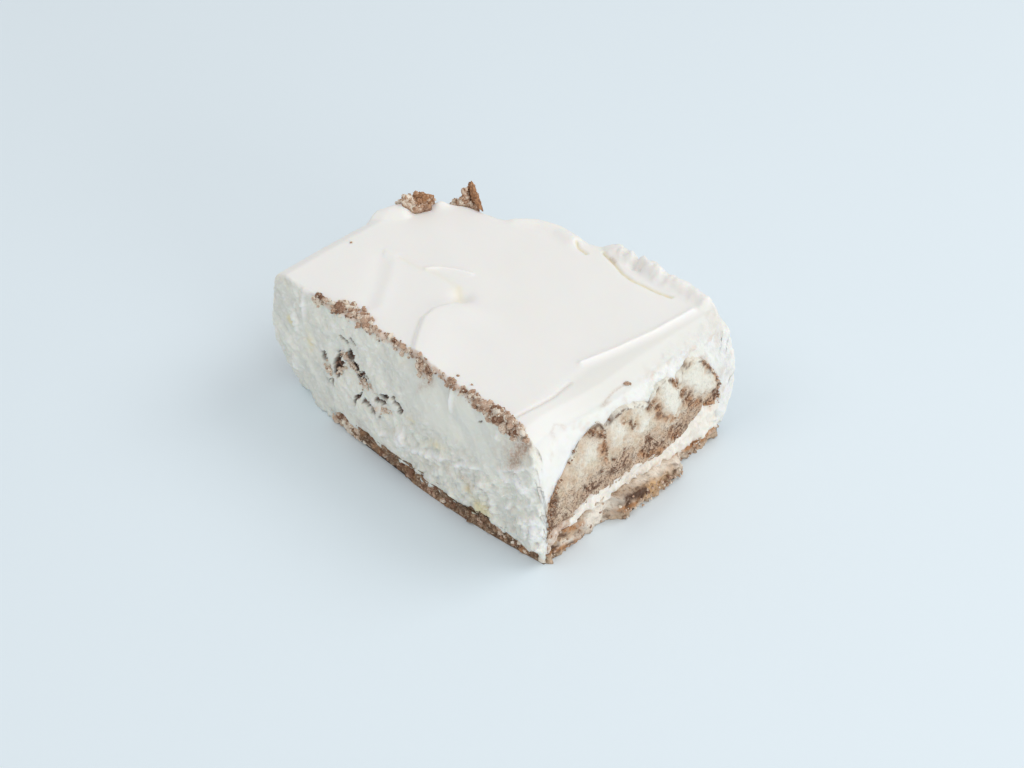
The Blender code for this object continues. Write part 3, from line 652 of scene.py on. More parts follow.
@functools.lru_cache
def ball(detail):
    """Points and triangles of a round ball of radius 1."""
    bm = bmesh.new()
    bmesh.ops.create_icosphere(bm, subdivisions=detail, radius=1)
    points = np.array([vert.co for vert in bm.verts])
    faces = np.array([[vert.index for vert in face.verts] for face in bm.faces])
    bm.free()
    return points, faces


class Skin:
    """Collects points, the masks on them and triangles, and makes one mesh of them."""

    def __init__(self):
        self.points = []
        self.masks = []
        self.faces = []
        self.count = 0

    def number(self, points, **masks):
        """Takes points in and returns their numbers, laid out as the points are."""
        numbers = self.count + np.arange(points[..., 0].size).reshape(points.shape[:-1])
        self.points.append(points.reshape(-1, 3))
        spread = {name: np.broadcast_to(mask, numbers.shape).ravel() for name, mask in masks.items()}
        self.masks.append(spread)
        self.count += numbers.size
        return numbers

    def sheet(self, numbers):
        """Covers a grid of numbers with triangles."""
        a, b, c, d = numbers[:-1, :-1], numbers[1:, :-1], numbers[1:, 1:], numbers[:-1, 1:]
        self.faces.append(np.stack([a, b, c], axis=-1).reshape(-1, 3))
        self.faces.append(np.stack([a, c, d], axis=-1).reshape(-1, 3))

    def tube(self, numbers):
        """Covers a grid of numbers whose last column joins its first."""
        self.sheet(np.concatenate([numbers, numbers[:, :1]], axis=1))

    def ribbon(self, first, second):
        """Joins two edges that needn't have as many points."""
        i, j, made = 0, 0, []
        while i < len(first) - 1 or j < len(second) - 1:
            if j == len(second) - 1 or (i + 1) / (len(first) - 1) <= (j + 1) / (len(second) - 1):
                made.append((first[i], first[i + 1], second[j]))
                i += 1
            else:
                made.append((first[i], second[j + 1], second[j]))
                j += 1
        self.faces.append(np.array(made))

    def fan(self, ring, centre):
        """Closes a ring of numbers with triangles to one point."""
        self.faces.append(np.stack([ring, np.roll(ring, -1), np.full(ring.shape, centre)], axis=-1))

    def grains(self, places, sizes, seed, detail=2, **masks):
        """Adds a rough grain at each of an array of places, turned and stretched by chance."""
        rng = np.random.default_rng(seed)
        points, faces = ball(detail)
        count = len(places)
        turns = np.linalg.qr(rng.normal(size=(count, 3, 3)))[0]
        stretch = rng.uniform(0.65, 1.3, (count, 1, 3))
        apart = rng.uniform(0, 30, (count, 1, 3))
        craggy = 1 + 0.34 * wobble(points + apart, 0.9, seed, 2)
        shaped = points * stretch * craggy[..., None]
        shaped = places[:, None] + sizes[:, None, None] * np.einsum("nij,nvj->nvi", turns, shaped)
        masks = {name: np.broadcast_to(mask[:, None], craggy.shape) for name, mask in masks.items()}
        shaped[..., 2] -= np.minimum(shaped[..., 2].min(axis=1, keepdims=True) - FLOOR_GAP, 0)
        numbers = self.number(shaped, **masks)
        self.faces.append((faces[None] + numbers[:, :1, None]).reshape(-1, 3))

    def finish(self, name, material):
        """The mesh as an object, in metres and with its faces turned outward."""
        points = np.concatenate(self.points)
        points[:, 2] = np.maximum(points[:, 2], 0)
        faces = np.concatenate(self.faces)
        mesh = bpy.data.meshes.new(name)
        mesh.from_pydata(((points - CENTRE) * MM).tolist(), [], faces.tolist())
        for mask in sorted({mask for part in self.masks for mask in part}):
            parts = [part.get(mask, np.zeros(len(place))) for part, place in zip(self.masks, self.points)]
            layer = mesh.attributes.new(mask, "FLOAT", "POINT")
            layer.data.foreach_set("value", np.concatenate(parts).astype(np.float32))
        bm = bmesh.new()
        bm.from_mesh(mesh)
        bmesh.ops.recalc_face_normals(bm, faces=bm.faces)
        bm.to_mesh(mesh)
        bm.free()
        mesh.shade_smooth()
        mesh.materials.append(material)
        piece = bpy.data.objects.new(name, mesh)
        bpy.context.scene.collection.objects.link(piece)
        return piece


def hand_over(piece, slot, *nodes):
    """Ties a piece to the frame: the body that it rides on, and hides the solids that it stands for. slot,
    its finish, is not used.
    """
    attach(piece, BODY)
    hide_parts(*nodes)


class Number:
    """A number that varies over a surface; its operators add Math nodes."""

    def __init__(self, recipe, socket):
        self.recipe = recipe
        self.socket = socket

    def maths(self, operation, first, second):
        node = self.recipe.add("ShaderNodeMath", {"operation": operation}, {0: first, 1: second})
        return Number(self.recipe, node.outputs[0])

    def __add__(self, other):
        return self.maths("ADD", self, other)

    def __sub__(self, other):
        return self.maths("SUBTRACT", self, other)

    def __rsub__(self, other):
        return self.maths("SUBTRACT", other, self)

    def __mul__(self, other):
        return self.maths("MULTIPLY", self, other)

    __radd__ = __add__
    __rmul__ = __mul__

    def between(self, start, end):
        """0 at start, 1 at end and smooth from one to the other."""
        values = {"Value": self, "From Min": start, "From Max": end, "To Min": 0.0, "To Max": 1.0}
        node = self.recipe.add("ShaderNodeMapRange", {"interpolation_type": "SMOOTHSTEP"}, values)
        return Number(self.recipe, node.outputs[0])


class Recipe:
    """A material in the making. Its noises take their sizes in millimetres."""

    def __init__(self, name, roughness, glow=0.0, glow_depth=0.0):
        self.material = bpy.data.materials.new(name)
        self.material.use_nodes = True
        self.tree = self.material.node_tree
        self.shader = self.tree.nodes["Principled BSDF"]
        self.shader.inputs["Roughness"].default_value = roughness
        self.shader.inputs["IOR"].default_value = 1.4
        self.shader.inputs["Subsurface Weight"].default_value = glow
        self.shader.inputs["Subsurface Radius"].default_value = GLOW_REACH
        self.shader.inputs["Subsurface Scale"].default_value = glow_depth
        place = self.add("ShaderNodeTexCoord").outputs["Object"]
        scaled = self.add("ShaderNodeVectorMath", {"operation": "SCALE"}, {0: place, "Scale": 1 / MM})
        self.place = scaled.outputs[0]

    def add(self, kind, settings=None, values=None):
        """Adds a node: its settings first, then the values or links of its sockets."""
        node = self.tree.nodes.new(kind)
        for name, value in (settings or {}).items():
            setattr(node, name, value)
        for name, value in (values or {}).items():
            socket = node.inputs[name]
            if isinstance(value, Number):
                self.tree.links.new(value.socket, socket)
            elif isinstance(value, bpy.types.NodeSocket):
                self.tree.links.new(value, socket)
            else:
                socket.default_value = value
        return node

    def mask(self, name):
        """A mask that the mesh carries."""
        return Number(self, self.add("ShaderNodeAttribute", {"attribute_name": name}).outputs["Fac"])

    def noise(self, size, detail=2.0, roughness=0.5, stretch=None, turn=0.0):
        """Noise from 0 to 1, its place turned about the slice's Y and then stretched."""
        place = self.place
        if turn:
            values = {"Vector": place, "Axis": (0.0, 1.0, 0.0), "Angle": turn}
            place = self.add("ShaderNodeVectorRotate", {"rotation_type": "AXIS_ANGLE"}, values).outputs[0]
        if stretch:
            values = {0: place, 1: stretch}
            place = self.add("ShaderNodeVectorMath", {"operation": "MULTIPLY"}, values).outputs[0]
        values = {"Vector": place, "Scale": 1.0 / size, "Detail": detail, "Roughness": roughness}
        return Number(self, self.add("ShaderNodeTexNoise", None, values).outputs["Fac"])

    def cells(self, size):
        """Distance to the nearest of scattered spots, in sizes."""
        values = {"Vector": self.place, "Scale": 1.0 / size}
        return Number(self, self.add("ShaderNodeTexVoronoi", None, values).outputs["Distance"])

    def mix(self, share, start, end):
        """The colour that is a share of the way from one to another."""
        sockets = {0: share}
        for socket, colour in ((6, start), (7, end)):
            sockets[socket] = colour if isinstance(colour, bpy.types.NodeSocket) else (*colour, 1.0)
        node = self.add("ShaderNodeMix", {"data_type": "RGBA"}, sockets)
        return node.outputs[2]

    def colour(self, socket):
        self.tree.links.new(socket, self.shader.inputs["Base Color"])

    def roughness(self, number):
        self.tree.links.new(number.socket, self.shader.inputs["Roughness"])

    def relief(self, height, depth):
        """Bumps too fine for the mesh, a height of 1 standing for a depth in millimetres."""
        bump = self.add("ShaderNodeBump", None, {"Height": height, "Strength": 1.0, "Distance": depth * MM})
        self.tree.links.new(bump.outputs["Normal"], self.shader.inputs["Normal"])


def cream_material(name, look, light, deep):
    """Whipped cream, pale and smooth on top and grained where smeared, cut or torn; painted shade and glints
    in its colour.
    """
    made = Recipe(name, 0.5, look.glow, look.glow_depth)
    drift = made.noise(14.0, 2.0)
    grain = made.noise(0.55, 3.0, 0.6)
    clots = made.noise(1.5, 3.0, 0.6)
    fibres = made.noise(1.0, 3.0, 0.6, (0.22, 1.0, 1.3), math.radians(-45))
    shaded, rough = made.mask("shaded"), made.mask("rough")
    body = made.mix(drift, light, deep)
    # Painted shade: where the shaded mask lies, the cream takes a greenish grey for cream in shade, over its
    # own smeared tint.
    body = made.mix(shaded, body, look.smeared)
    # Painted shade: darker grey mottles on the smeared side, the lifted lip's shadow line and the shoulder
    # beyond the ridge.
    body = made.mix(made.mask("dull") * 0.45, body, look.mottle_and_shade_grey)
    # Painted shade and highlights: on shaded rough cream, dark streaks along the fibres and bright flecks on
    # the clots, as their relief would show.
    mottled = shaded * (rough * 0.8 + 0.1)
    body = made.mix(fibres.between(0.45, 0.75) * mottled * 0.5, body, look.mottle_and_shade_grey)
    body = made.mix(clots.between(0.50, 0.70) * mottled * 0.6, body, look.fresh_and_glint)
    # Whiter smears of cream, and painted highlights along the glint lines on top.
    body = made.mix(made.mask("white"), body, look.fresh_and_glint)
    body = made.mix(made.mask("yellow") * 0.8, body, look.yellow)
    body = made.mix(made.mask("pink") * (grain + 0.4), body, look.torn)
    # Stains of soaked crumb, and painted shade along the dark crease on top.
    body = made.mix(made.mask("stain") * (grain.between(0.35, 0.6) * 0.5 + 0.4), body, look.stain)
    # Painted shade: near black deep in the torn holes, mixed with lit brown crumb.
    depths = made.mix(made.noise(0.8, 3.0, 0.6).between(0.4, 0.7), look.hole, look.hole_brown)
    body = made.mix(made.mask("hole"), body, depths)
    made.colour(body)
    made.roughness(rough * 0.25 + grain * 0.1 + 0.42)
    made.relief((fibres * 0.5 + grain * 0.3 + clots * 0.4) * (rough * 0.95 + 0.03), 0.5)
    return made.material


def sponge_material(name, look):
    """Cut sponge: tan and full of fine pores, darker where it is soaked and pale where it is dry."""
    made = Recipe(name, 0.85, 0.12, look.glow_depth)
    broad = made.noise(3.2, 3.0, 0.6)
    crumb = made.noise(0.75, 4.0, 0.65)
    holes = made.cells(0.8)
    pale, soaked = made.mask("pale"), made.mask("soaked")
    body = made.mix(broad.between(0.35, 0.65), look.crumb, look.crumb_light)
    body = made.mix(made.noise(5.0, 2.0).between(0.5, 0.75) * 0.5, body, look.crumb_olive)
    body = made.mix(pale * (broad * 0.6 + 0.75), body, look.crumb_pale)
    body = made.mix(soaked * (crumb * 0.9 + broad * 0.4 + 0.1), body, look.soaked)
    body = made.mix(made.mask("rust") * (crumb * 1.7), body, look.rust)
    pitted = (1 - holes.between(0.12, 0.40)) * (0.5 - pale * 0.4) + (1 - crumb.between(0.34, 0.44)) * 0.35
    body = made.mix(pitted * (soaked * 0.5 + 0.4), body, look.pore)
    dots = made.noise(0.5, 2.0).between(0.53, 0.60)
    body = made.mix(dots * (soaked * 1.1 + 0.1 - pale * 0.1), body, look.fleck)
    body = made.mix(made.mask("rust") * broad.between(0.4, 0.6) * 0.5, body, look.rust)
    body = made.mix(made.mask("fleck") * (crumb * 1.2 + 0.2), body, look.fleck)
    made.colour(body)
    made.relief(crumb * 0.6 + holes.between(0.1, 0.5) * 0.4, 0.25)
    return made.material


def base_material(name, look):
    """Soaked base: wet dark crumb with paler grains, and amber and cream on its cut end."""
    made = Recipe(name, 0.6, 0.1, look.glow_depth)
    broad = made.noise(2.4, 3.0, 0.6)
    crumb = made.noise(0.7, 4.0, 0.7)
    body = made.mix(broad.between(0.32, 0.68), look.base_dark, look.base_brown)
    body = made.mix(crumb.between(0.50, 0.66) * 0.75, body, look.base_light)
    body = made.mix(made.mask("cut") * (broad.between(0.3, 0.6) * 0.75 + 0.1), body, look.crumb)
    body = made.mix(made.mask("rust") * (crumb * 1.4 + 0.4), body, look.rust)
    body = made.mix(made.mask("amber") * (broad.between(0.3, 0.6) * 0.5 + 0.5), body, look.amber)
    body = made.mix(made.mask("film") * (crumb * 0.4 + 0.8), body, look.film)
    # Painted shade: the dark patches on the base's cut end take the fleck colour.
    body = made.mix(made.mask("shade") * (crumb * 1.4 + 0.3), body, look.fleck)
    body = made.mix((1 - crumb.between(0.33, 0.44)) * (0.75 - made.mask("film") * 0.55), body, look.base_pore)
    made.colour(body)
    made.roughness(0.75 - broad.between(0.4, 0.7) * 0.3)
    made.relief(crumb * 0.8 + broad * 0.4, 0.4)
    return made.material


def crumb_material(name, look):
    """Torn crumb, dark through brown to a pale beige by each grain's own tone."""
    made = Recipe(name, 0.85, 0.1, look.glow_depth)
    grain = made.noise(0.4, 3.0, 0.7)
    tone = made.mask("tone") + (grain - 0.5) * 1.5
    body = made.mix(tone.between(0.0, 0.5), look.grain_dark, look.grain_brown)
    body = made.mix(tone.between(0.45, 1.0), body, look.grain_beige)
    body = made.mix(made.mask("rust") * (grain * 0.8 + 0.3), body, look.rust)
    made.colour(body)
    made.relief(grain, 0.3)
    return made.material


def painted(name, description, default):
    return bpy.props.FloatVectorProperty(name=name, description=description, subtype="COLOR", default=default)


class CreamLook(bpy.types.PropertyGroup):
    """Cream on top, down the sides and between the layers."""

    light: painted("Top, light", "Lighter shade of the cream on top", (0.915, 0.905, 0.878))
    deep: painted("Top, deep", "Deeper shade of the cream on top", (0.89, 0.888, 0.862))
    filling_light: painted("Filling, light", "Lighter shade between layers", (0.95, 0.925, 0.865))
    filling_deep: painted("Filling, deep", "Deeper shade between layers", (0.90, 0.83, 0.73))
    # Painted shade: the smeared side's own greenish tint, darkened to grey for cream in shade there, on the
    # far side and on the cut.
    smeared: painted("Smeared side", "Cream that the knife smeared", (0.865, 0.865, 0.785))
    # Painted shade: the grey of darker mottles and fibre streaks on the smeared side, the lifted lip's shadow
    # line and the shoulder beyond the ridge.
    mottle_and_shade_grey: painted("Smeared side, deep", "Streaks in the smear", (0.695, 0.70, 0.65))
    # Whiter cream in smears, also used for painted highlights: glints on top and bright flecks on clots.
    fresh_and_glint: painted("Fresh", "White flecks and smears", (0.98, 0.97, 0.945))
    # Smears of soaked crumb, also painted shade along the dark crease on top.
    stain: painted("Stain", "Smears of soaked crumb", (0.50, 0.35, 0.26))
    torn: painted("Torn crumb", "Sponge torn open under the cream", (0.74, 0.58, 0.47))
    yellow: painted("Yellow", "Where the cream is thin", (0.86, 0.76, 0.46))
    # Painted shade: near black deep in the torn holes.
    hole: painted("Hole", "Deep in the torn holes", (0.045, 0.028, 0.02))
    hole_brown: painted("Hole, lit", "Lit crumb in the torn holes", (0.30, 0.165, 0.115))
    glow: bpy.props.FloatProperty(
        name="Glow", description="Share of light that travels inside the cream", subtype="FACTOR",
        default=0.35, min=0, max=1)
    glow_depth: bpy.props.FloatProperty(
        name="Glow depth", description="How far light travels inside the cream", subtype="DISTANCE",
        unit="LENGTH", default=0.002, min=0)


class SpongeLook(bpy.types.PropertyGroup):
    """Sponge fingers, base and crumbs."""

    crumb: painted("Crumb", "Cut sponge", (0.66, 0.50, 0.36))
    crumb_light: painted("Crumb, light", "Lighter cut sponge", (0.77, 0.68, 0.55))
    crumb_pale: painted("Crumb, pale", "Dry middle of a finger", (0.84, 0.82, 0.73))
    crumb_olive: painted("Crumb, olive", "Cut sponge with cream in it", (0.68, 0.63, 0.48))
    soaked: painted("Soaked", "Sponge that has drawn up coffee", (0.47, 0.30, 0.20))
    rust: painted("Browned", "Browned outside of a finger", (0.53, 0.265, 0.12))
    pore: painted("Pore", "Shade in the pores", (0.28, 0.155, 0.09))
    # Dark flecks; also painted shade on the base's cut end.
    fleck: painted("Fleck", "Dark flecks", (0.12, 0.06, 0.035))
    base_dark: painted("Base, dark", "Wettest crumb of the base", (0.13, 0.07, 0.038))
    base_brown: painted("Base, brown", "Crumb of the base", (0.32, 0.20, 0.12))
    base_light: painted("Base, light", "Paler grains of the base", (0.64, 0.51, 0.38))
    base_pore: painted("Base pore", "Shade between the grains of the base", (0.05, 0.026, 0.016))
    amber: painted("Amber", "Soaked lump with light in it", (0.68, 0.43, 0.22))
    film: painted("Film", "Thin cream on the base", (0.95, 0.875, 0.77))
    grain_dark: painted("Grain, dark", "Darkest loose crumb", (0.24, 0.125, 0.075))
    grain_brown: painted("Grain, brown", "Loose crumb", (0.60, 0.405, 0.29))
    grain_beige: painted("Grain, beige", "Palest loose crumb", (0.92, 0.83, 0.70))
    glow_depth: bpy.props.FloatProperty(
        name="Glow depth", description="How far light travels inside the sponge", subtype="DISTANCE",
        unit="LENGTH", default=0.0012, min=0)


class StageLook(bpy.types.PropertyGroup):
    """Floor and lights."""

    floor: painted("Floor", "Plain pale floor", (0.80, 0.90, 0.965))
    key: bpy.props.FloatProperty(
        name="Key light", description="Power of the soft light from behind", unit="POWER", default=4.0, min=0)
    overhead: bpy.props.FloatProperty(
        name="Overhead light", description="Power of the light over the smeared side", unit="POWER",
        default=1.0, min=0)
    side: bpy.props.FloatProperty(
        name="Side light", description="Power of the light on the cut end", unit="POWER", default=3.1, min=0)
    fill: bpy.props.FloatProperty(
        name="Surrounding light", description="Strength of the light from all round", default=0.58, min=0)


def side_relief(points):
    """How far the cream of a long side stands out, and how smooth the knife left it."""
    x, z = points[..., 0], points[..., 2]
    streaked = at((x - z) * 0.2, points[..., 1], (x + z) * 0.7)
    flaky = at((x + z * 0.8) * 0.45, points[..., 1], z - x * 0.5)
    smooth = smoothstep(-6, 4, x) * smoothstep(42, 30, x) * smoothstep(20, 29, z)
    lower = smoothstep(-8, 4, x) * smoothstep(29, 18, z)
    right = smoothstep(26, 38, x) * smoothstep(38, 28, z)
    fine = 0.36 * wobble(streaked, 1.5, 11, 3) + 0.24 * wobble(points, 1.1, 17, 2)
    height = fine * (1 - 0.75 * smooth) + 0.42 * wobble(points, 6.0, 19, 2)
    flakes = 0.75 * smoothstep(0.0, 0.3, wobble(flaky, 2.8, 23, 3)) + 0.6 * wobble(points, 1.9, 25, 2)
    height = height + np.maximum(lower, 0.8 * right) * (flakes - 0.35)
    foot = smoothstep(4.0, 1.0, z) * smoothstep(-24, -30, x)
    return height + foot * 0.7 * wobble(points, 2.2, 27, 2), smooth


def cream_outside(along):
    """Points of the cream's outside over every station, from the near foot over the top to the far foot.

    With them come the ways that the surface faces in Y and Z there.
    """
    edge_x = along + end_swell(along, -34.0, TOP_HEIGHT)
    near_edge = near_side(edge_x, TOP_HEIGHT - EDGE_ROUNDING)
    far_edge = far_side(along, TOP_HEIGHT - EDGE_ROUNDING)
    turn = np.radians(np.arange(15, 90, 15))
    drawn, low = EDGE_ROUNDING * (1 - np.cos(turn)), EDGE_ROUNDING * (1 - np.sin(turn))

    across = evenly(0, 1, CREAM_STEP / CREAM_WIDTH)
    flat_y = near_edge + EDGE_ROUNDING + across * (far_edge - near_edge - 2 * EDGE_ROUNDING)
    top_y = np.concatenate([near_edge + drawn, flat_y, far_edge - drawn[::-1]], axis=1)
    top_x = along + end_swell(along, top_y, TOP_HEIGHT)
    drawn_y = top_y - corner_draw(along, top_y)
    top_z = top_height(top_x, drawn_y) + spread_marks(top_x, drawn_y)
    fall, length = END_FALL
    top_z = top_z - fall * smoothstep(HALF_LENGTH - length, HALF_LENGTH, abs(along))
    top_z = top_z - np.concatenate([low, np.zeros(flat_y.shape[1]), low[::-1]])

    rise = evenly(0, 1, CREAM_STEP / SIDE_HEIGHT)
    near_z = blend(cream_foot(along), top_z[:, :1] - BELOW_ROUNDING, rise)
    far_z = blend(base_top(along, FAR_TOP_OF_BASE) - OVERLAP, top_z[:, -1:] - BELOW_ROUNDING, rise[::-2])

    y = np.concatenate([near_side(edge_x, near_z), top_y, far_side(along, far_z)], axis=1)
    z = np.concatenate([near_z, top_z, far_z], axis=1)
    tilt = np.concatenate([
        np.zeros(near_z.shape[1]), turn, np.full(flat_y.shape[1], math.pi / 2), math.pi - turn[::-1],
        np.full(far_z.shape[1], math.pi),
    ])
    return y, z, np.broadcast_to(-np.cos(tilt), y.shape), np.broadcast_to(np.sin(tilt), y.shape)


def torn_open(outer, jag):
    """Where the smeared side is torn into holes, and where torn crumb shows in it."""
    x, height = outer[..., 0], outer[..., 2]
    broken = 1.1 * jag + 0.9 * wobble(outer * (1.0, 1.0, 0.7), 1.0, 53)
    opened, crumbled = spots(x, height, HOLES), spots(x, height, TORN_CRUMB)
    hole = smoothstep(0.52, 0.64, opened + broken * smoothstep(0.02, 0.4, opened))
    return hole, smoothstep(0.3, 0.8, crumbled + broken * smoothstep(0.02, 0.4, crumbled))


def cream_surface(outer, facing_y, facing_z):
    """The masks of the cream's outside, and how far its fine relief stands out."""
    x, y, height = outer[..., 0], outer[..., 1], outer[..., 2]
    on_near, on_far, wall = np.clip(-facing_y, 0, 1), np.clip(facing_y, 0, 1), abs(facing_y)
    relief, smooth = side_relief(outer)
    jag = 0.45 * wobble(outer, 1.1, 51, 2) + 0.25 * wobble(outer, 0.6, 57)
    shoulder = smoothstep(44.5, 47.5, x + 0.8 * wobble(outer, 3.0, 31, 2)) * facing_z
    shoulder = shoulder * (0.15 + 0.85 * smoothstep(1.0, 7.0, y))

    hole, torn = torn_open(outer, jag)
    hole = hole * on_near
    torn = torn * on_near * (1 - hole)
    white = np.clip(1.8 * spots(x, height, WHITE_SMEARS) + jag * 0.5 - 0.15, 0, 1) * on_near * (1 - hole)
    # Painted highlights: glint lines on top, added to the whiter smears of the side.
    white = white + facing_z * lines(x, y, PAINTED_GLINT_LINES)
    stain = np.clip(1.2 * spots(x, height, BROWN_SMEARS) * (0.8 + 0.6 * jag), 0, 1) * on_near
    yellow = np.clip(1.6 * spots(x, height, YELLOW_PATCHES) * (0.9 + jag), 0, 1) * on_near
    mottled = wobble(at((x - height) * 0.3, y, (x + height) * 0.7), 4.0, 65, 3)
    # Darker mottles on the smeared side, more of them towards the cut end.
    dull = (smoothstep(-0.1, 0.6, mottled) + 0.25 * smoothstep(5, 40, x)) * on_near
    # Painted shadow: a thin grey line beside the lifted lip.
    dull = dull + facing_z * lines(x + 0.4, y, ((LIFTED_LIP, 0.35, 0.9),))
    # Painted shade: the shoulder beyond the ridge slopes towards the side light, so it is darkened to be no
    # brighter than the top.
    sloped_shade = facing_z * smoothstep(0.8, 4, past_ridge(x, y)) * (0.35 + 0.65 * smoothstep(-26, -6, y))
    pink = torn + under_crumbs(x, y, height)
    pink = pink + 0.35 * np.clip(wobble(outer, 2.0, 61, 2) - 0.35, 0, 1) * shoulder
    pink = pink + 0.3 * np.clip(wobble(outer, 1.7, 63, 2) - 0.5, 0, 1) * on_near * smoothstep(24, 14, height)
    masks = {
        # Painted shade on the smeared side below the top, and less of it on the far side.
        "shaded": np.clip(on_near * smoothstep(43.5, 40.5, height + jag) + 0.4 * on_far, 0, 1),
        # Darker mottles and painted shade.
        "dull": dull + 1.1 * sloped_shade,
        "rough": np.clip(wall * (1 - 0.7 * smooth) + shoulder, 0, 1),
        # Stains, and painted shade along the dark crease.
        "stain": stain + facing_z * lines(x, y, STAIN_AND_CREASE_SHADE_LINES),
        "yellow": yellow + facing_z * lines(x, y, YELLOW_LINES),
        "pink": pink, "white": white, "hole": hole,
    }

    near_base = smoothstep(2.4, 0.4, height - curve(BAND_TOP, x)) * (1 - tuck(x)) * on_near
    out = wall * relief * (1 - 0.55 * near_base) * (1 - 0.35 * on_far)
    out = out + shoulder * (0.40 * wobble(outer, 2.1, 33, 3) + 0.2 * wobble(outer, 0.8, 37))
    out = out - 1.4 * hole * (0.8 + 0.4 * jag) + torn * (0.5 + 0.6 * jag)
    out = out + 1.1 * white * on_near * smoothstep(HALF_LENGTH - 1, HALF_LENGTH - 6, abs(x))
    return masks, out


def cut_cream_masks(cap, depth, edge):
    """The masks of cream at a cut end. Those of its edge fade inward, where it is torn and painted with grey
    shade.
    """
    inside = smoothstep(0, 0.3, depth)
    masks = {name: mask * (1 - inside) for name, mask in edge.items()}
    # Painted shade: grey mottles on the cut cream, fading out towards the far side.
    grey_painted_shade = np.clip(0.25 + 0.5 * wobble(cap, 3.4, 93, 3), 0, 0.8) * smoothstep(38.0, 32.0, cap[..., 1])
    masks["rough"] = masks["rough"] + (0.2 + 0.8 * smoothstep(2.0, 8.0, cap[..., 1])) * inside
    masks["pink"] = masks["pink"] + 0.6 * np.clip(wobble(cap, 2.2, 91, 2) - 0.3, 0, 1)
    masks["shaded"] = masks["shaded"] + grey_painted_shade * inside
    return masks


def make_cream(look):
    """The cream on top and down the sides, hollow where the layers lie."""
    along = stations(CREAM_STEP)[:, None]
    y, z, facing_y, facing_z = cream_outside(along)
    outer = placed(along, y, z)
    masks, out = cream_surface(outer, facing_y, facing_z)
    into_end = np.clip(END_ROUNDING - (HALF_LENGTH - abs(along)), 0, END_ROUNDING)
    out = out - 0.8 * (END_ROUNDING - np.sqrt(END_ROUNDING**2 - into_end**2))
    outer[..., 1] += facing_y * out
    outer[..., 2] += facing_z * out

    inner_y, inner_z = cream_lining(along, facing_y[0], z)
    inner = ragged(placed(along, inner_y, inner_z))
    skin = Skin()
    outside = skin.number(outer, **masks)
    skin.sheet(outside)
    coarse_rows = np.unique(np.linspace(0, len(along) - 1, COARSE_STATIONS).astype(int))
    inside = skin.number(inner[coarse_rows], rough=0.5)
    skin.sheet(inside)
    skin.ribbon(outside[:, 0], inside[:, 0])
    skin.ribbon(outside[:, -1], inside[:, -1])

    depth = evenly(0, 1, 1 / 14)[1:-1, None]
    for row, sign in ((0, -1), (-1, 1)):
        cut_y = outer[row, :, 1] + corner_draw(along[row], y[row])
        cap_y, cap_z = blend(cut_y, inner_y[row], depth), blend(outer[row, :, 2], inner_z[row], depth)
        cap = ragged(placed(along[row, 0], cap_y, cap_z), depth)
        cap[..., 0] += sign * cut_cream_relief(cap) * smoothstep(0, 0.2, depth)
        edge = {name: mask[row] for name, mask in masks.items()}
        numbers = skin.number(cap, **cut_cream_masks(cap, depth, edge))
        skin.sheet(np.concatenate([outside[row][None], numbers, inside[row][None]]))
    return skin.finish("cream", cream_material("cream", look, look.light, look.deep))


def under_crumbs(x, y, z):
    """Where the cream is stained by the crumbs along its edge."""
    inward = y - near_side(x, np.clip(z, 0, TOP_HEIGHT - 1))
    down = TOP_HEIGHT - z
    stained = np.zeros(x.shape)
    for start, end, reach_down, reach_in, _, _ in CRUMB_RUNS:
        along = smoothstep(start - 0.6, start + 0.8, x) * smoothstep(end + 0.6, end - 0.8, x)
        hanging = smoothstep(reach_down + 0.5, reach_down * 0.5, down)
        stained = np.maximum(stained, along * hanging * smoothstep(reach_in + 0.3, reach_in * 0.4, inward))
    return stained * (y < 0)


def cut_cream_relief(points):
    """Roughness of cream at a cut end: little where the knife wiped it, more where it tore."""
    y, z = points[..., 1], points[..., 2]
    torn = 0.25 + 0.75 * smoothstep(2.0, 8.0, y + 0.2 * (30 - z))
    return torn * (0.45 * wobble(points, 3.0, 81, 3) + 0.22 * wobble(points, 1.0, 87, 2)) - 0.1


def cream_lining(along, facing_y, z):
    """Where the cream meets the fingers, the filling and the base, with a point for each one outside."""
    low, high = FINGERS[0][0] + BORDER_OVERLAP, FINGERS[-1][1] - BORDER_OVERLAP
    near, far = facing_y == -1.0, facing_y == 1.0
    near[np.argmin(near):] = False
    roof = ~(near | far)
    roof_y = np.linspace(low, high, roof.sum()) + 0 * along
    roof_z = row_crown(along, roof_y) - BORDER_OVERLAP
    inner_y, inner_z = np.empty(z.shape), np.empty(z.shape)
    inner_y[:, roof], inner_z[:, roof] = roof_y, roof_z

    rise = (z[:, near] - z[:, :1]) / (z[:, near][:, -1:] - z[:, :1])
    inner_z[:, near] = blend(z[:, :1], roof_z[:, :1], rise)
    drawn = (TUCKED_NEAR_EDGE - 0.5 - FINGERS[0][0]) * tuck(along)
    inner_y[:, near] = low + drawn * (1 - smoothstep(5.0, 8.5, inner_z[:, near]))
    fall = (z[:, far] - z[:, -1:]) / (z[:, far][:, :1] - z[:, -1:])
    inner_z[:, far] = blend(z[:, -1:], roof_z[:, -1:], fall)
    inner_y[:, far] = high
    return inner_y, inner_z


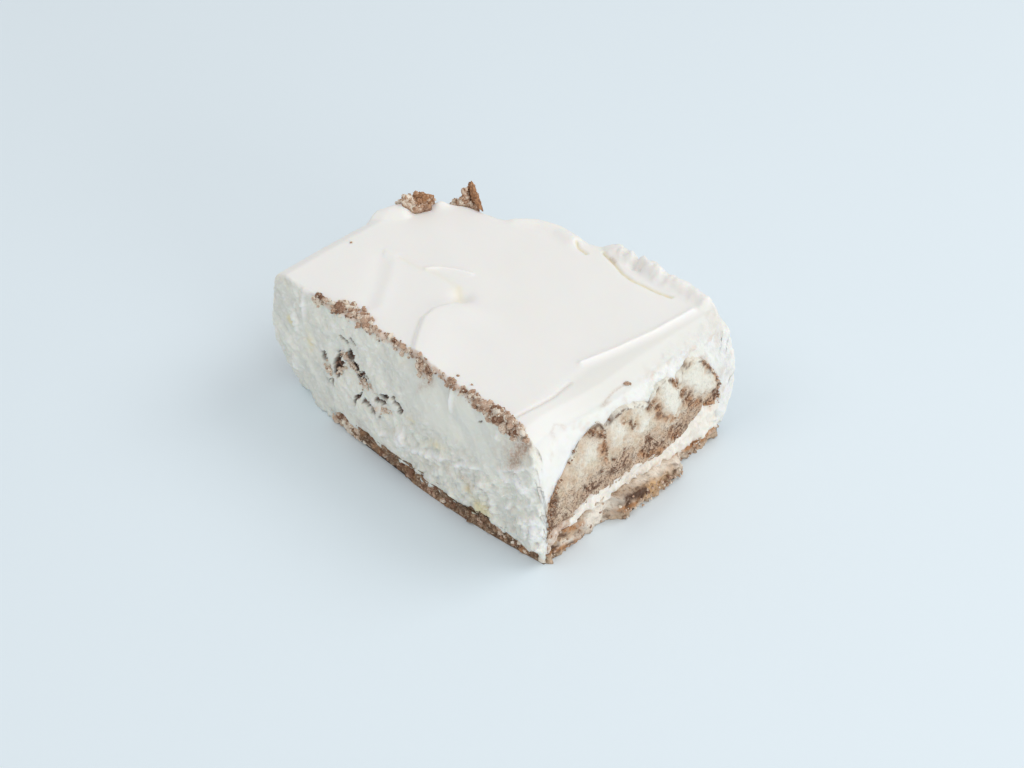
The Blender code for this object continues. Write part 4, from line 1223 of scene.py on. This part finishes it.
def block(section, across, up, near_along=None, middle=None):
    """A closed skin with a fine face at either end.

    section(station, across, up) gives points and masks, from shares of the way across and up. The long sides
    are coarse, but the near one is fine where near_along gives its stations. middle, where given, replaces
    the coarse stations.
    """
    skin = Skin()
    ends = {}
    for station in (-HALF_LENGTH, HALF_LENGTH):
        points, masks = section(station, across[None, :], up[:, None])
        ends[station] = skin.number(points, **masks)
        skin.sheet(ends[station])
    back, front = ends[-HALF_LENGTH], ends[HALF_LENGTH]

    rows, columns = len(up), len(across)
    top = [(rows - 1, j) for j in range(columns)]
    far = [(i, columns - 1) for i in range(rows - 2, -1, -1)]
    under = [(0, j) for j in range(columns - 2, -1, -1)]
    near = [(i, 0) for i in range(rows)]
    path = (top + far + under)[1:-1] if near_along is not None else top + far + under + near[1:-1]
    i, j = np.array(path).T
    if middle is None:
        middle = evenly(-HALF_LENGTH, HALF_LENGTH, 2 * HALF_LENGTH / COARSE_STATIONS)[1:-1]
    points, masks = section(middle[:, None], across[j][None, :], up[i][None, :])
    body = np.concatenate([back[i, j][None], skin.number(points, **masks), front[i, j][None]])
    if near_along is None:
        skin.tube(body)
        return skin

    skin.sheet(body)
    points, masks = section(near_along[1:-1, None], across[None, :1], up[None, :])
    wall = np.concatenate([back[:, 0][None], skin.number(points, **masks), front[:, 0][None]])
    skin.sheet(wall)
    skin.ribbon(wall[:, -1], body[:, 0])
    skin.ribbon(wall[:, 0], body[:, -1])
    return skin


def at_end(station):
    """1 on either cut end and 0 elsewhere."""
    return smoothstep(HALF_LENGTH - 0.5, HALF_LENGTH, abs(station))


def sponge_masks(y, z, points, below):
    """How pale, soaked, browned and flecked a cut finger is, so far below its crown."""
    jag = 0.35 * wobble(points, 1.3, 101, 2)
    creamed = 0.8 * smoothstep(2.4, 0.4, below + 1.4 * wobble(points, 1.6, 109, 2))
    pale = np.clip(np.maximum(spots(y, z, PALE_CRUMB) - 0.15, creamed) + jag, 0, 1)
    dark = spots(y, z, SOAKED_CRUMB)
    low = 0.62 * smoothstep(24.0, 15.5, z + 2.2 * wobble(points, 3.4, 99, 2))
    soaked = np.clip(np.maximum(dark - 0.1, low) + 0.7 * jag, 0, 1) * (1 - 0.8 * np.clip(pale, 0, 1))
    broken = 1.15 + 0.5 * wobble(points, 2.6, 103, 2)
    rust, fleck = np.zeros(y.shape), np.zeros(y.shape)
    for rim in BROWNED_RIMS:
        rust = np.maximum(rust, hump(away(y, z, rim)[0], 0, broken))
    rust = rust * smoothstep(-0.45, 0.25, wobble(points, 1.8, 107, 2))
    for number, (dot_y, dot_z) in enumerate(DARK_DOTS):
        size = 0.45 + 0.1 * (number * 7 % 5)
        fleck = fleck + hump(np.hypot(y - dot_y, z - dot_z), 0, size * broken)
    specks = smoothstep(0.15, 0.5, wobble(points, 0.8, 105))
    fleck = fleck + specks * (np.clip(dark, 0, 1) + 0.5 * rust + 0.9 * hump(below, 0.9, 0.7))
    return {
        "pale": pale * (1 - rust), "soaked": soaked, "rust": rust * (0.8 + jag),
        "fleck": np.clip(fleck, 0, 1),
    }


def make_finger(number, look):
    """A sponge finger that runs the length of the slice, porous and browned at its cut ends."""
    finger = FINGERS[number - 1]
    near, far, reach = finger[0], finger[1], finger[-1]

    def section(station, across, up):
        y = blend(near, far, across) + 0 * up + 0 * station
        crown = finger_crown(finger, station, y)
        z = blend(finger_floor(y) - BORDER_OVERLAP, crown, up)
        points = placed(station, y, z)
        masks = sponge_masks(y, z, points, crown - z)
        pitted = smoothstep(0.40, 0.15, pores(points, 1.7, 121))
        pitted = pitted + smoothstep(0.40, 0.15, pores(points, 1.0, 123))
        relief = 0.28 * wobble(points, 2.4, 111, 3) + 0.14 * wobble(points, 0.8, 117, 2)
        relief = relief - 0.35 * pitted * (1 - 0.85 * masks["pale"]) * (0.5 + 0.5 * masks["soaked"])
        relief = relief + 0.35 * masks["pale"] - 0.35 * masks["rust"]
        level = blend(SHARED_REACH, reach, smoothstep(0.3, 3.5, np.minimum(y - near, far - y)))
        points[..., 0] += np.sign(station) * at_end(station) * (level + relief)
        return ragged(points), masks

    across = evenly(0, 1, CUT_STEP / (far - near))
    up = evenly(0, 1, CUT_STEP / FINGER_HEIGHT)
    return block(section, across, up).finish(f"finger_{number}", sponge_material(f"finger_{number}", look))


def make_filling(look):
    """The band of cream between the fingers and the base."""

    def section(station, across, up):
        near = FINGERS[0][0] + OVERLAP + (TUCKED_NEAR_EDGE + 0.5 - FINGERS[0][0]) * tuck(station)
        far = FINGERS[-1][1] - OVERLAP
        y = blend(near, far, across) + 0 * up
        z = blend(base_top(station, y) - BORDER_OVERLAP, finger_floor(y) + BORDER_OVERLAP, up)
        points = placed(station, y, z)
        relief = 0.7 * wobble(points, 2.4, 131, 3) + 0.25 * wobble(points, 0.9, 137, 2)
        points[..., 0] += np.sign(station) * at_end(station) * (relief - 0.1 + 0.35 * hump(up, 0.5, 0.4))
        soaked_foot = smoothstep(-23.5, -26.5, y + 0.8 * wobble(points, 1.6, 139, 2))
        masks = {
            "rough": 0.8,
            "pink": np.clip(0.5 * wobble(points, 2.2, 133, 2) - 0.1 + soaked_foot, 0, 1),
            "stain": soaked_foot * np.clip(0.7 + 0.6 * wobble(points, 1.2, 135, 2), 0, 1),
        }
        return ragged(points), masks

    across, up = (evenly(0, 1, CUT_STEP / size) for size in FILLING_SIZE)
    material = cream_material("filling", look, look.filling_light, look.filling_deep)
    return block(section, across, up).finish("filling", material)


def make_base(look):
    """The bottom layer, craggy along the near side, with a soaked lump that stands out of the cut end."""
    chunk_reach = BASE_CHUNK[-1]
    chunk_start = HALF_LENGTH - 6
    far = FAR_FOOT[-1][1] - 0.4

    def section(station, across, up):
        near = base_near_edge(station) - 0.5
        y = blend(near, far, across) + 0 * up
        chunk = on_chunk(y)
        top = base_top(station, y) - 0.9 * smoothstep(2.0, 0, far - y)
        shown = smoothstep(HALF_LENGTH - 5, HALF_LENGTH - 1, station)
        top = top - 1.0 * chunk * smoothstep(HALF_LENGTH - 1, HALF_LENGTH, station)
        z = up * top
        points = placed(station, y, z)
        crag = 0.75 * wobble(points, 2.2, 141, 3) + 0.35 * wobble(points, 0.9, 147, 2)
        x = points[..., 0]
        undercut = 0.8 * smoothstep(2.4, 1.0, z) * smoothstep(-27, -22, x) * smoothstep(3, -2, x)
        points[..., 1] += smoothstep(1.5, 0, y - near) * (undercut - crag * np.clip(z, 0, 1))
        cut = chunk_reach * chunk * smoothstep(chunk_start, HALF_LENGTH, station) * (0.8 + 0.2 * up**2)
        cut = cut - 0.6 * chunk * hump(up, 1, 0.3) * at_end(station)
        points[..., 0] += cut + np.sign(station) * at_end(station) * (1.2 * crag)
        points[..., 2] += up * shown * chunk * (0.9 * wobble(points, 2.0, 155, 3) - 0.2)
        jag = 0.4 * wobble(points, 1.2, 151, 2)
        on_end = np.maximum(at_end(station), shown * chunk)
        level = z - MARKS_FALL * np.clip(points[..., 0] - HALF_LENGTH, 0, None)
        rust = np.zeros(y.shape)
        for path in BASE_RUST:
            rust = np.maximum(rust, 1.7 * hump(away(y, level, path)[0], 0, 1.0 + 0.7 * jag))
        masks = {
            "film": np.clip(spots(y, level, BASE_FILM) + jag - 0.1, 0, 1) * on_end,
            "amber": np.clip(spots(y, level, BASE_AMBER) + jag, 0, 1) * on_end,
            "shade": np.clip(spots(y, level, BASE_SHADE) + jag - 0.1, 0, 1) * on_end,
            "rust": rust * on_end + (1 - on_end) * np.clip(0.35 * wobble(points, 3.0, 153, 2), 0, 1),
            "cut": on_end + 0 * y,
        }
        return points, masks

    width, height = BASE_SIZE
    across, up = evenly(0, 1, CUT_STEP / width), evenly(0, 1, BASE_STEP / height)
    middle = np.concatenate([
        evenly(-HALF_LENGTH, chunk_start, 2 * HALF_LENGTH / COARSE_STATIONS)[1:],
        evenly(chunk_start, HALF_LENGTH, BASE_STEP)[1:-1],
    ])
    made = block(section, across, up, stations(BASE_STEP), middle)
    return made.finish("base", base_material("base", look))


def around_edge(x, inward, lift):
    """Places at the top of the smeared side: inward on top, or down the side where inward is below 0."""
    down = np.minimum(inward, 0)
    edge = near_side(x, np.clip(TOP_HEIGHT + down - 1, 0, TOP_HEIGHT - 1))
    y = edge + np.maximum(inward, 0) + 0.2
    on_top = inward > 0
    z = np.where(on_top, top_height(x, y), TOP_HEIGHT + down - 0.6)
    return at(x, y - np.where(on_top, 0.0, lift), z + np.where(on_top, lift, 0.0))


def make_edge_crumbs(look):
    """Crumb dragged along the top edge by the knife, thickest towards the cut end."""
    rng = np.random.default_rng(11)
    skin = Skin()
    for number, (start, end, down, inner, heap, count) in enumerate(CRUMB_RUNS):
        clumps = 2 + int(CLUMPS_TO_AREA * (end - start) * (down + inner) * (0.4 + heap))
        made = clumps + count
        x = blend(start, end, rng.random(made))
        hangs = rng.random(made) < down / (down + inner)
        inward = np.where(hangs, -down * rng.beta(1.0, 1.7, made), inner * rng.beta(1.0, 1.8, made))
        of_clumps = blend(*CLUMP_SIZES, rng.random(clumps) ** 1.5 * (0.5 + 0.5 * heap))
        sizes = np.concatenate([of_clumps, blend(*CRUMB_SIZES, rng.random(count) ** 1.6)])
        places = around_edge(x, inward, heap * 0.6 * rng.random(made) ** 2 - 0.1 + sizes * 0.1)
        tone = rng.normal(0.6, 0.32, made)
        skin.grains(places[:clumps], sizes[:clumps], 200 + number, 3, tone=tone[:clumps])
        seated = int(count * ON_CLUMPS)
        owner = rng.integers(0, clumps, seated)
        heading = rng.normal(size=(seated, 3))
        heading = heading / np.linalg.norm(heading, axis=1, keepdims=True)
        places[clumps:clumps + seated] = places[owner] + heading * sizes[owner, None]
        skin.grains(places[clumps:], sizes[clumps:], 240 + number, 2, tone=tone[clumps:])
    return skin.finish("edge_crumbs", crumb_material("edge_crumbs", look))


def make_torn_crumbs(look):
    """Small crumb in the torn hollows and smears of the side, and a few specks on top."""
    rng = np.random.default_rng(17)
    skin = Skin()
    for number, (x, z, length, width, slant, strength) in enumerate(TORN_CRUMB):
        count = int(10 * length * width * strength) + 3
        turn = math.radians(slant)
        u, v = rng.normal(0, 0.55, (2, count)) * np.array([[length], [width]])
        place_x = x + u * math.cos(turn) - v * math.sin(turn)
        place_z = np.minimum(z + u * math.sin(turn) + v * math.cos(turn), TOP_HEIGHT - 1)
        places = at(place_x, near_side(place_x, place_z) - 0.05, place_z)
        sizes = rng.uniform(0.16, 0.5, count)
        skin.grains(places, sizes, 300 + number, 2, tone=rng.normal(0.72, 0.2, count))
    x, y = np.array(TOP_SPECKS).T
    lip, fall = LIP_FALL
    fallen = np.where(x > LIP_START, fall + x - lip, 0)
    places = at(x, y, top_height(x, y) - fallen + 0.1)
    skin.grains(places, np.full(len(x), SPECK_SIZE), 340, 2, tone=np.full(len(x), 0.35))
    return skin.finish("torn_crumbs", crumb_material("torn_crumbs", look))


def make_rim_crumbs(look):
    """Browned crumb that stands out along the rims of the cut fingers, at both ends."""
    rng = np.random.default_rng(23)
    skin = Skin()
    for end in (1, -1):
        for number, rim in enumerate(BROWNED_RIMS):
            for (ay, az), (by, bz) in zip(rim, rim[1:]):
                count = int(GRAINS_ON_RIM * math.hypot(by - ay, bz - az)) + 1
                t = rng.random(count)
                y = blend(ay, by, t) + rng.normal(0, RIM_SPREAD, count)
                z = blend(az, bz, t) + rng.normal(0, RIM_SPREAD, count)
                crown = row_crown(end * HALF_LENGTH, y)
                on_row = np.isfinite(crown)
                places = placed(end * HALF_LENGTH, y[on_row], np.minimum(z, crown - 0.2)[on_row])
                places[:, 0] += end * 0.25
                tone = rng.normal(0.4, 0.25, len(places))
                sizes = rng.uniform(0.1, 0.28, len(places))
                skin.grains(places, sizes, 400 + number, 2, tone=tone, rust=np.full(len(places), 0.5))
        y, z = np.repeat(DARK_DOTS, GRAINS_ON_DOT, axis=0).T
        y, z = y + rng.normal(0, DOT_SPREAD, len(y)), z + rng.normal(0, DOT_SPREAD, len(y))
        under_cream = z < row_crown(end * HALF_LENGTH, y) - 0.2
        y, z = y[under_cream], z[under_cream]
        places = placed(end * HALF_LENGTH, y, z)
        places[:, 0] += end * 0.3
        skin.grains(places, rng.uniform(0.12, 0.3, len(y)), 440 + end, 2, tone=rng.normal(-0.1, 0.2, len(y)))
    return skin.finish("rim_crumbs", crumb_material("rim_crumbs", look))


def make_base_crumbs(look):
    """Loose wet crumb on the side of the base and on the cut end of it."""
    rng = np.random.default_rng(29)
    skin = Skin()
    count = SIDE_CRUMBS[-1]
    x = rng.uniform(*SIDE_CRUMBS)
    sizes = 0.2 + 0.8 * rng.random(count) ** 2
    z = sizes + rng.random(count) * (curve(BAND_TOP, x) - 2 * sizes + 0.4)
    y = curve(NEAR_FOOT, x) + 0.5 + 0.6 * smoothstep(2.8, 1.3, z) * smoothstep(3, -2, x)
    tone = rng.normal(0.24, 0.28, count) + 0.4 * hump(x, 37, 6) + 0.25 * smoothstep(-12, -20, x)
    tone = tone + 0.5 * smoothstep(46, 49, x)
    skin.grains(at(x, y, z), sizes, 501, 2, tone=tone)

    count = HEAP_CRUMBS[-1]
    x = rng.uniform(*HEAP_CRUMBS)
    sizes = rng.uniform(0.5, 1.3, count)
    z = sizes * 0.8 + rng.random(count) ** 1.3 * 4.2
    y = curve(NEAR_FOOT, x) + 0.5 + rng.uniform(0, 0.5, count)
    skin.grains(at(x, y, z), sizes, 505, 3, tone=rng.normal(0.62, 0.22, count))

    count = END_CRUMBS[-1]
    y = rng.uniform(*END_CRUMBS)
    z = 0.5 + rng.random(count) * (base_top(HALF_LENGTH, y) - 1.6)
    x = HALF_LENGTH + end_swell(HALF_LENGTH, y, z) + on_chunk(y) * BASE_CHUNK[-1] * 0.95
    tone = rng.normal(0.55, 0.3, count)
    skin.grains(at(x, y, z), rng.uniform(0.15, 0.45, count), 503, 2, tone=tone)
    return skin.finish("base_crumbs", crumb_material("base_crumbs", look))


def bumps(x, y, frequency, seed):
    """The solids' own smooth noise between about -1 and 1, so that lumps keep their outline."""
    places = zip(np.ravel(x) * frequency, np.ravel(y) * frequency)
    return np.array([noise.noise(Vector((u, v, seed))) for u, v in places]).reshape(x.shape)


def turned(x, y, degrees, along, sideways):
    """A place so far along a heading from (x, y) and so far to its left."""
    heading = math.radians(degrees)
    return (
        x + along * math.cos(heading) - sideways * math.sin(heading),
        y + along * math.sin(heading) + sideways * math.cos(heading),
    )


def make_lump(number, look):
    """A torn piece of sponge on the far corner, made of grains; the last one has an upright flake."""
    x, y, degrees, length, width, height = CORNER_LUMPS[number - 1]
    rng = np.random.default_rng(number)
    skin = Skin()
    share = evenly(0.03, 1, 1 / LUMP_RINGS)[:, None]
    angle = np.linspace(0, 2 * math.pi, LUMP_SPOKES, endpoint=False)[None, :]
    outline = share * (1 + 0.4 * bumps(np.cos(angle), np.sin(angle), 2.0, number))
    along, sideways = length * outline * np.cos(angle), width * outline * np.sin(angle)
    points_x, points_y = turned(x, y, degrees, along, sideways)
    under = top_height(points_x, points_y) - OVERLAP
    rise = height * (1 - share**2) * (1 + LUMP_LEAN * np.cos(angle)) + 0.6
    roof = under + LUMP_GAP + OVERLAP + rise * (1 + 0.6 * bumps(points_x, points_y, 0.45, number))
    upper = at(points_x, points_y, roof)
    weight = 1 - share**6
    for axis in range(3):
        coarse, fine = wobble(upper, 2.4, 161 + 10 * axis, 2), wobble(upper, 0.9, 167 + 10 * axis, 2)
        upper[..., axis] += weight * (0.6 * coarse + 0.35 * fine)
    pale, reach = LUMP_PALE[number - 1]
    paler = pale * smoothstep(reach, reach - 0.8, along / length + 0.3 * wobble(upper, 2.0, 193, 2))
    tone = 0.1 + paler + 0.6 * wobble(upper, 1.5, 191, 2)
    top = skin.number(upper, tone=tone)
    bottom = skin.number(at(points_x, points_y, under), tone=0.2)
    for disc in (top, bottom):
        skin.tube(disc)
        middle = np.concatenate(skin.points)[disc[0]].mean(axis=0)
        skin.fan(disc[0], skin.number(middle[None], tone=0.3)[0])
    skin.tube(np.stack([top[-1], bottom[-1]]))

    ring, spoke = rng.integers(0, len(share), GRAINS_ON_LUMP), rng.integers(0, angle.size, GRAINS_ON_LUMP)
    places = upper[ring, spoke]
    sizes = 0.15 + 0.5 * rng.random(GRAINS_ON_LUMP) ** 2.5
    raised = np.clip((places[:, 2] - under[ring, spoke]) / height, 0, 1)
    tones = rng.normal(0.55, 0.35, GRAINS_ON_LUMP) + 0.6 * paler[ring, spoke] - 0.35 * raised
    browned = 0.9 * raised * (1 - paler[ring, spoke])
    skin.grains(places, sizes, 600 + number, 2, tone=tones, rust=np.clip(browned, 0, 1))
    if number == len(CORNER_LUMPS):
        add_shard(skin)
    return skin.finish(f"lump_{number}", crumb_material(f"lump_{number}", look))


def add_shard(skin):
    """A thin upright flake of sponge, ragged all round."""
    reach, height = np.array(SHARD_OUTLINE).T
    middle = np.array([reach.mean(), height.mean()])
    share = evenly(0, 1, 1 / SHARD_RINGS)[:, None]
    edge = np.linspace(0, len(reach), SHARD_SPOKES, endpoint=False)
    around = [np.interp(edge, range(len(reach) + 1), np.append(line, line[0])) for line in (reach, height)]
    rng = np.random.default_rng(37)
    numbers = {}
    for side in (-1, 1):
        along, up = (blend(middle[axis], around[axis], share) for axis in range(2))
        thick = side * SHARD_THICKNESS / 2 * np.sqrt(np.clip(1 - 0.9 * share**4, 0, 1)) + 0 * along
        x, y = turned(*SHARD_START, SHARD_HEADING, along, thick)
        points = at(x, y, up)
        for axis in range(3):
            points[..., axis] += 0.18 * wobble(points * (1.6, 1.6, 0.7), 1.1, 171 + 10 * axis, 3)
        grained = wobble(points * (2.4, 2.4, 0.4), 1.2, 195, 2)
        browned = np.clip(0.8 + 1.2 * grained, 0, 1.3)
        numbers[side] = skin.number(points, tone=0.1 + 0.8 * grained, rust=browned)
        skin.tube(numbers[side])
        count = GRAINS_ON_SHARD
        rows, spokes = rng.integers(6, len(share), count), rng.integers(0, SHARD_SPOKES, count)
        sizes = 0.1 + 0.2 * rng.random(count) ** 2
        tones = rng.normal(0.35, 0.25, count)
        skin.grains(points[rows, spokes], sizes, 640 + side, 2, tone=tones, rust=np.full(count, 0.9))
    skin.tube(np.stack([numbers[-1][-1], numbers[1][-1]]))


def look_at_slice(context):
    """The camera at the photograph's angle."""
    camera_data = bpy.data.cameras.new("camera")
    camera_data.lens = CAMERA_LENS
    camera_data.sensor_width = SENSOR_WIDTH
    camera = bpy.data.objects.new("camera", camera_data)
    camera.location = Vector(CAMERA_PLACE) * MM
    tilt, turn, roll = (math.radians(angle) for angle in (CAMERA_TILT, CAMERA_TURN, CAMERA_ROLL))
    camera.rotation_euler = (Euler((tilt, 0, turn)).to_matrix() @ Euler((0, 0, roll)).to_matrix()).to_euler()
    context.scene.collection.objects.link(camera)
    context.scene.camera = camera


def light_slice(context, look):
    """Soft light from behind, from above and on the cut end, and pale light from all round."""
    lamps = (("key", look.key, KEY), ("overhead", look.overhead, OVERHEAD), ("side", look.side, SIDE))
    for name, power, (place, size) in lamps:
        lamp_data = bpy.data.lights.new(name, "AREA")
        lamp_data.energy = power
        lamp_data.size = size * MM
        lamp = bpy.data.objects.new(name, lamp_data)
        lamp.location = Vector(place) * MM
        lamp.rotation_euler = (-lamp.location).to_track_quat("-Z", "Y").to_euler()
        context.scene.collection.objects.link(lamp)
    world = bpy.data.worlds.new("studio")
    world.use_nodes = True
    surroundings = world.node_tree.nodes["Background"]
    surroundings.inputs["Color"].default_value = (*SURROUNDINGS, 1.0)
    surroundings.inputs["Strength"].default_value = look.fill
    context.scene.world = world
    context.scene.view_settings.view_transform = "Standard"


def lay_floor(context, look):
    """A plain pale floor."""
    half = FLOOR_SIZE / 2
    mesh = bpy.data.meshes.new("floor")
    mesh.from_pydata([(x * half * MM, y * half * MM, 0) for x, y in ((-1, -1), (1, -1), (1, 1), (-1, 1))], [],
                     [(0, 1, 2, 3)])
    made = Recipe("floor", 0.35)
    mottle = made.noise(60.0, 2.0)
    made.colour(made.mix(mottle * 0.15, look.floor, (value * 0.94 for value in look.floor)))
    mesh.materials.append(made.material)
    floor = bpy.data.objects.new("floor", mesh)
    context.scene.collection.objects.link(floor)


class TIRAMISU_OT_cream(bpy.types.Operator):
    """Build the cream on top and down the sides"""

    bl_idname = "tiramisu.cream"
    bl_label = "Cream"

    def execute(self, context):
        hand_over(make_cream(context.scene.cream_look), "cream", "cream_coat")
        return {"FINISHED"}


class TIRAMISU_OT_filling(bpy.types.Operator):
    """Build the cream between the fingers and the base"""

    bl_idname = "tiramisu.filling"
    bl_label = "Filling"

    def execute(self, context):
        hand_over(make_filling(context.scene.cream_look), "filling", "cream_filling")
        return {"FINISHED"}


class TIRAMISU_OT_fingers(bpy.types.Operator):
    """Build the four sponge fingers"""

    bl_idname = "tiramisu.fingers"
    bl_label = "Sponge fingers"

    def execute(self, context):
        for number in range(1, len(FINGERS) + 1):
            finger = make_finger(number, context.scene.sponge_look)
            hand_over(finger, "finger_sponge", f"sponge_finger_{number}")
        return {"FINISHED"}


class TIRAMISU_OT_base(bpy.types.Operator):
    """Build the soaked base"""

    bl_idname = "tiramisu.base"
    bl_label = "Soaked base"

    def execute(self, context):
        hand_over(make_base(context.scene.sponge_look), "base_sponge", "sponge_base")
        return {"FINISHED"}


class TIRAMISU_OT_lumps(bpy.types.Operator):
    """Build the torn sponge on the far corner"""

    bl_idname = "tiramisu.lumps"
    bl_label = "Torn sponge"

    def execute(self, context):
        for number in range(1, len(CORNER_LUMPS) + 1):
            hand_over(make_lump(number, context.scene.sponge_look), "torn_sponge", f"sponge_lump_{number}")
        return {"FINISHED"}


class TIRAMISU_OT_crumbs(bpy.types.Operator):
    """Scatter the crumbs on the edge, the side, the rims and the base"""

    bl_idname = "tiramisu.crumbs"
    bl_label = "Crumbs"

    def execute(self, context):
        look = context.scene.sponge_look
        hand_over(make_edge_crumbs(look), "torn_sponge", "cream_coat")
        hand_over(make_torn_crumbs(look), "torn_sponge", "cream_coat")
        fingers = [f"sponge_finger_{number}" for number in range(1, len(FINGERS) + 1)]
        hand_over(make_rim_crumbs(look), "finger_sponge", *fingers)
        hand_over(make_base_crumbs(look), "base_sponge", "sponge_base")
        return {"FINISHED"}


class TIRAMISU_OT_stage(bpy.types.Operator):
    """Set up the floor, the lights and the camera"""

    bl_idname = "tiramisu.stage"
    bl_label = "Stage"

    def execute(self, context):
        look = context.scene.stage_look
        look_at_slice(context)
        light_slice(context, look)
        lay_floor(context, look)
        return {"FINISHED"}


class TIRAMISU_PT_pieces(bpy.types.Panel):
    """Lists the pieces of the slice"""

    bl_label = "Tiramisu slice"
    bl_idname = "TIRAMISU_PT_pieces"
    bl_space_type = "VIEW_3D"
    bl_region_type = "UI"
    bl_category = "Tiramisu"

    def draw(self, context):
        for operator in OPERATORS:
            self.layout.operator(operator.bl_idname)
        for look in (context.scene.cream_look, context.scene.sponge_look, context.scene.stage_look):
            column = self.layout.column()
            for name in look.__annotations__:
                column.prop(look, name)


OPERATORS = (
    TIRAMISU_OT_cream,
    TIRAMISU_OT_filling,
    TIRAMISU_OT_fingers,
    TIRAMISU_OT_base,
    TIRAMISU_OT_lumps,
    TIRAMISU_OT_crumbs,
    TIRAMISU_OT_stage,
)
CLASSES = (CreamLook, SpongeLook, StageLook, *OPERATORS, TIRAMISU_PT_pieces)


def register():
    for made in CLASSES:
        bpy.utils.register_class(made)
    bpy.types.Scene.cream_look = bpy.props.PointerProperty(type=CreamLook)
    bpy.types.Scene.sponge_look = bpy.props.PointerProperty(type=SpongeLook)
    bpy.types.Scene.stage_look = bpy.props.PointerProperty(type=StageLook)


def unregister():
    del bpy.types.Scene.stage_look
    del bpy.types.Scene.sponge_look
    del bpy.types.Scene.cream_look
    for made in reversed(CLASSES):
        bpy.utils.unregister_class(made)


def main():
    register()
    bpy.ops.tiramisu.cream()
    bpy.ops.tiramisu.filling()
    bpy.ops.tiramisu.fingers()
    bpy.ops.tiramisu.base()
    bpy.ops.tiramisu.lumps()
    bpy.ops.tiramisu.crumbs()
    bpy.ops.tiramisu.stage()


if __name__ == "__main__":
    main()
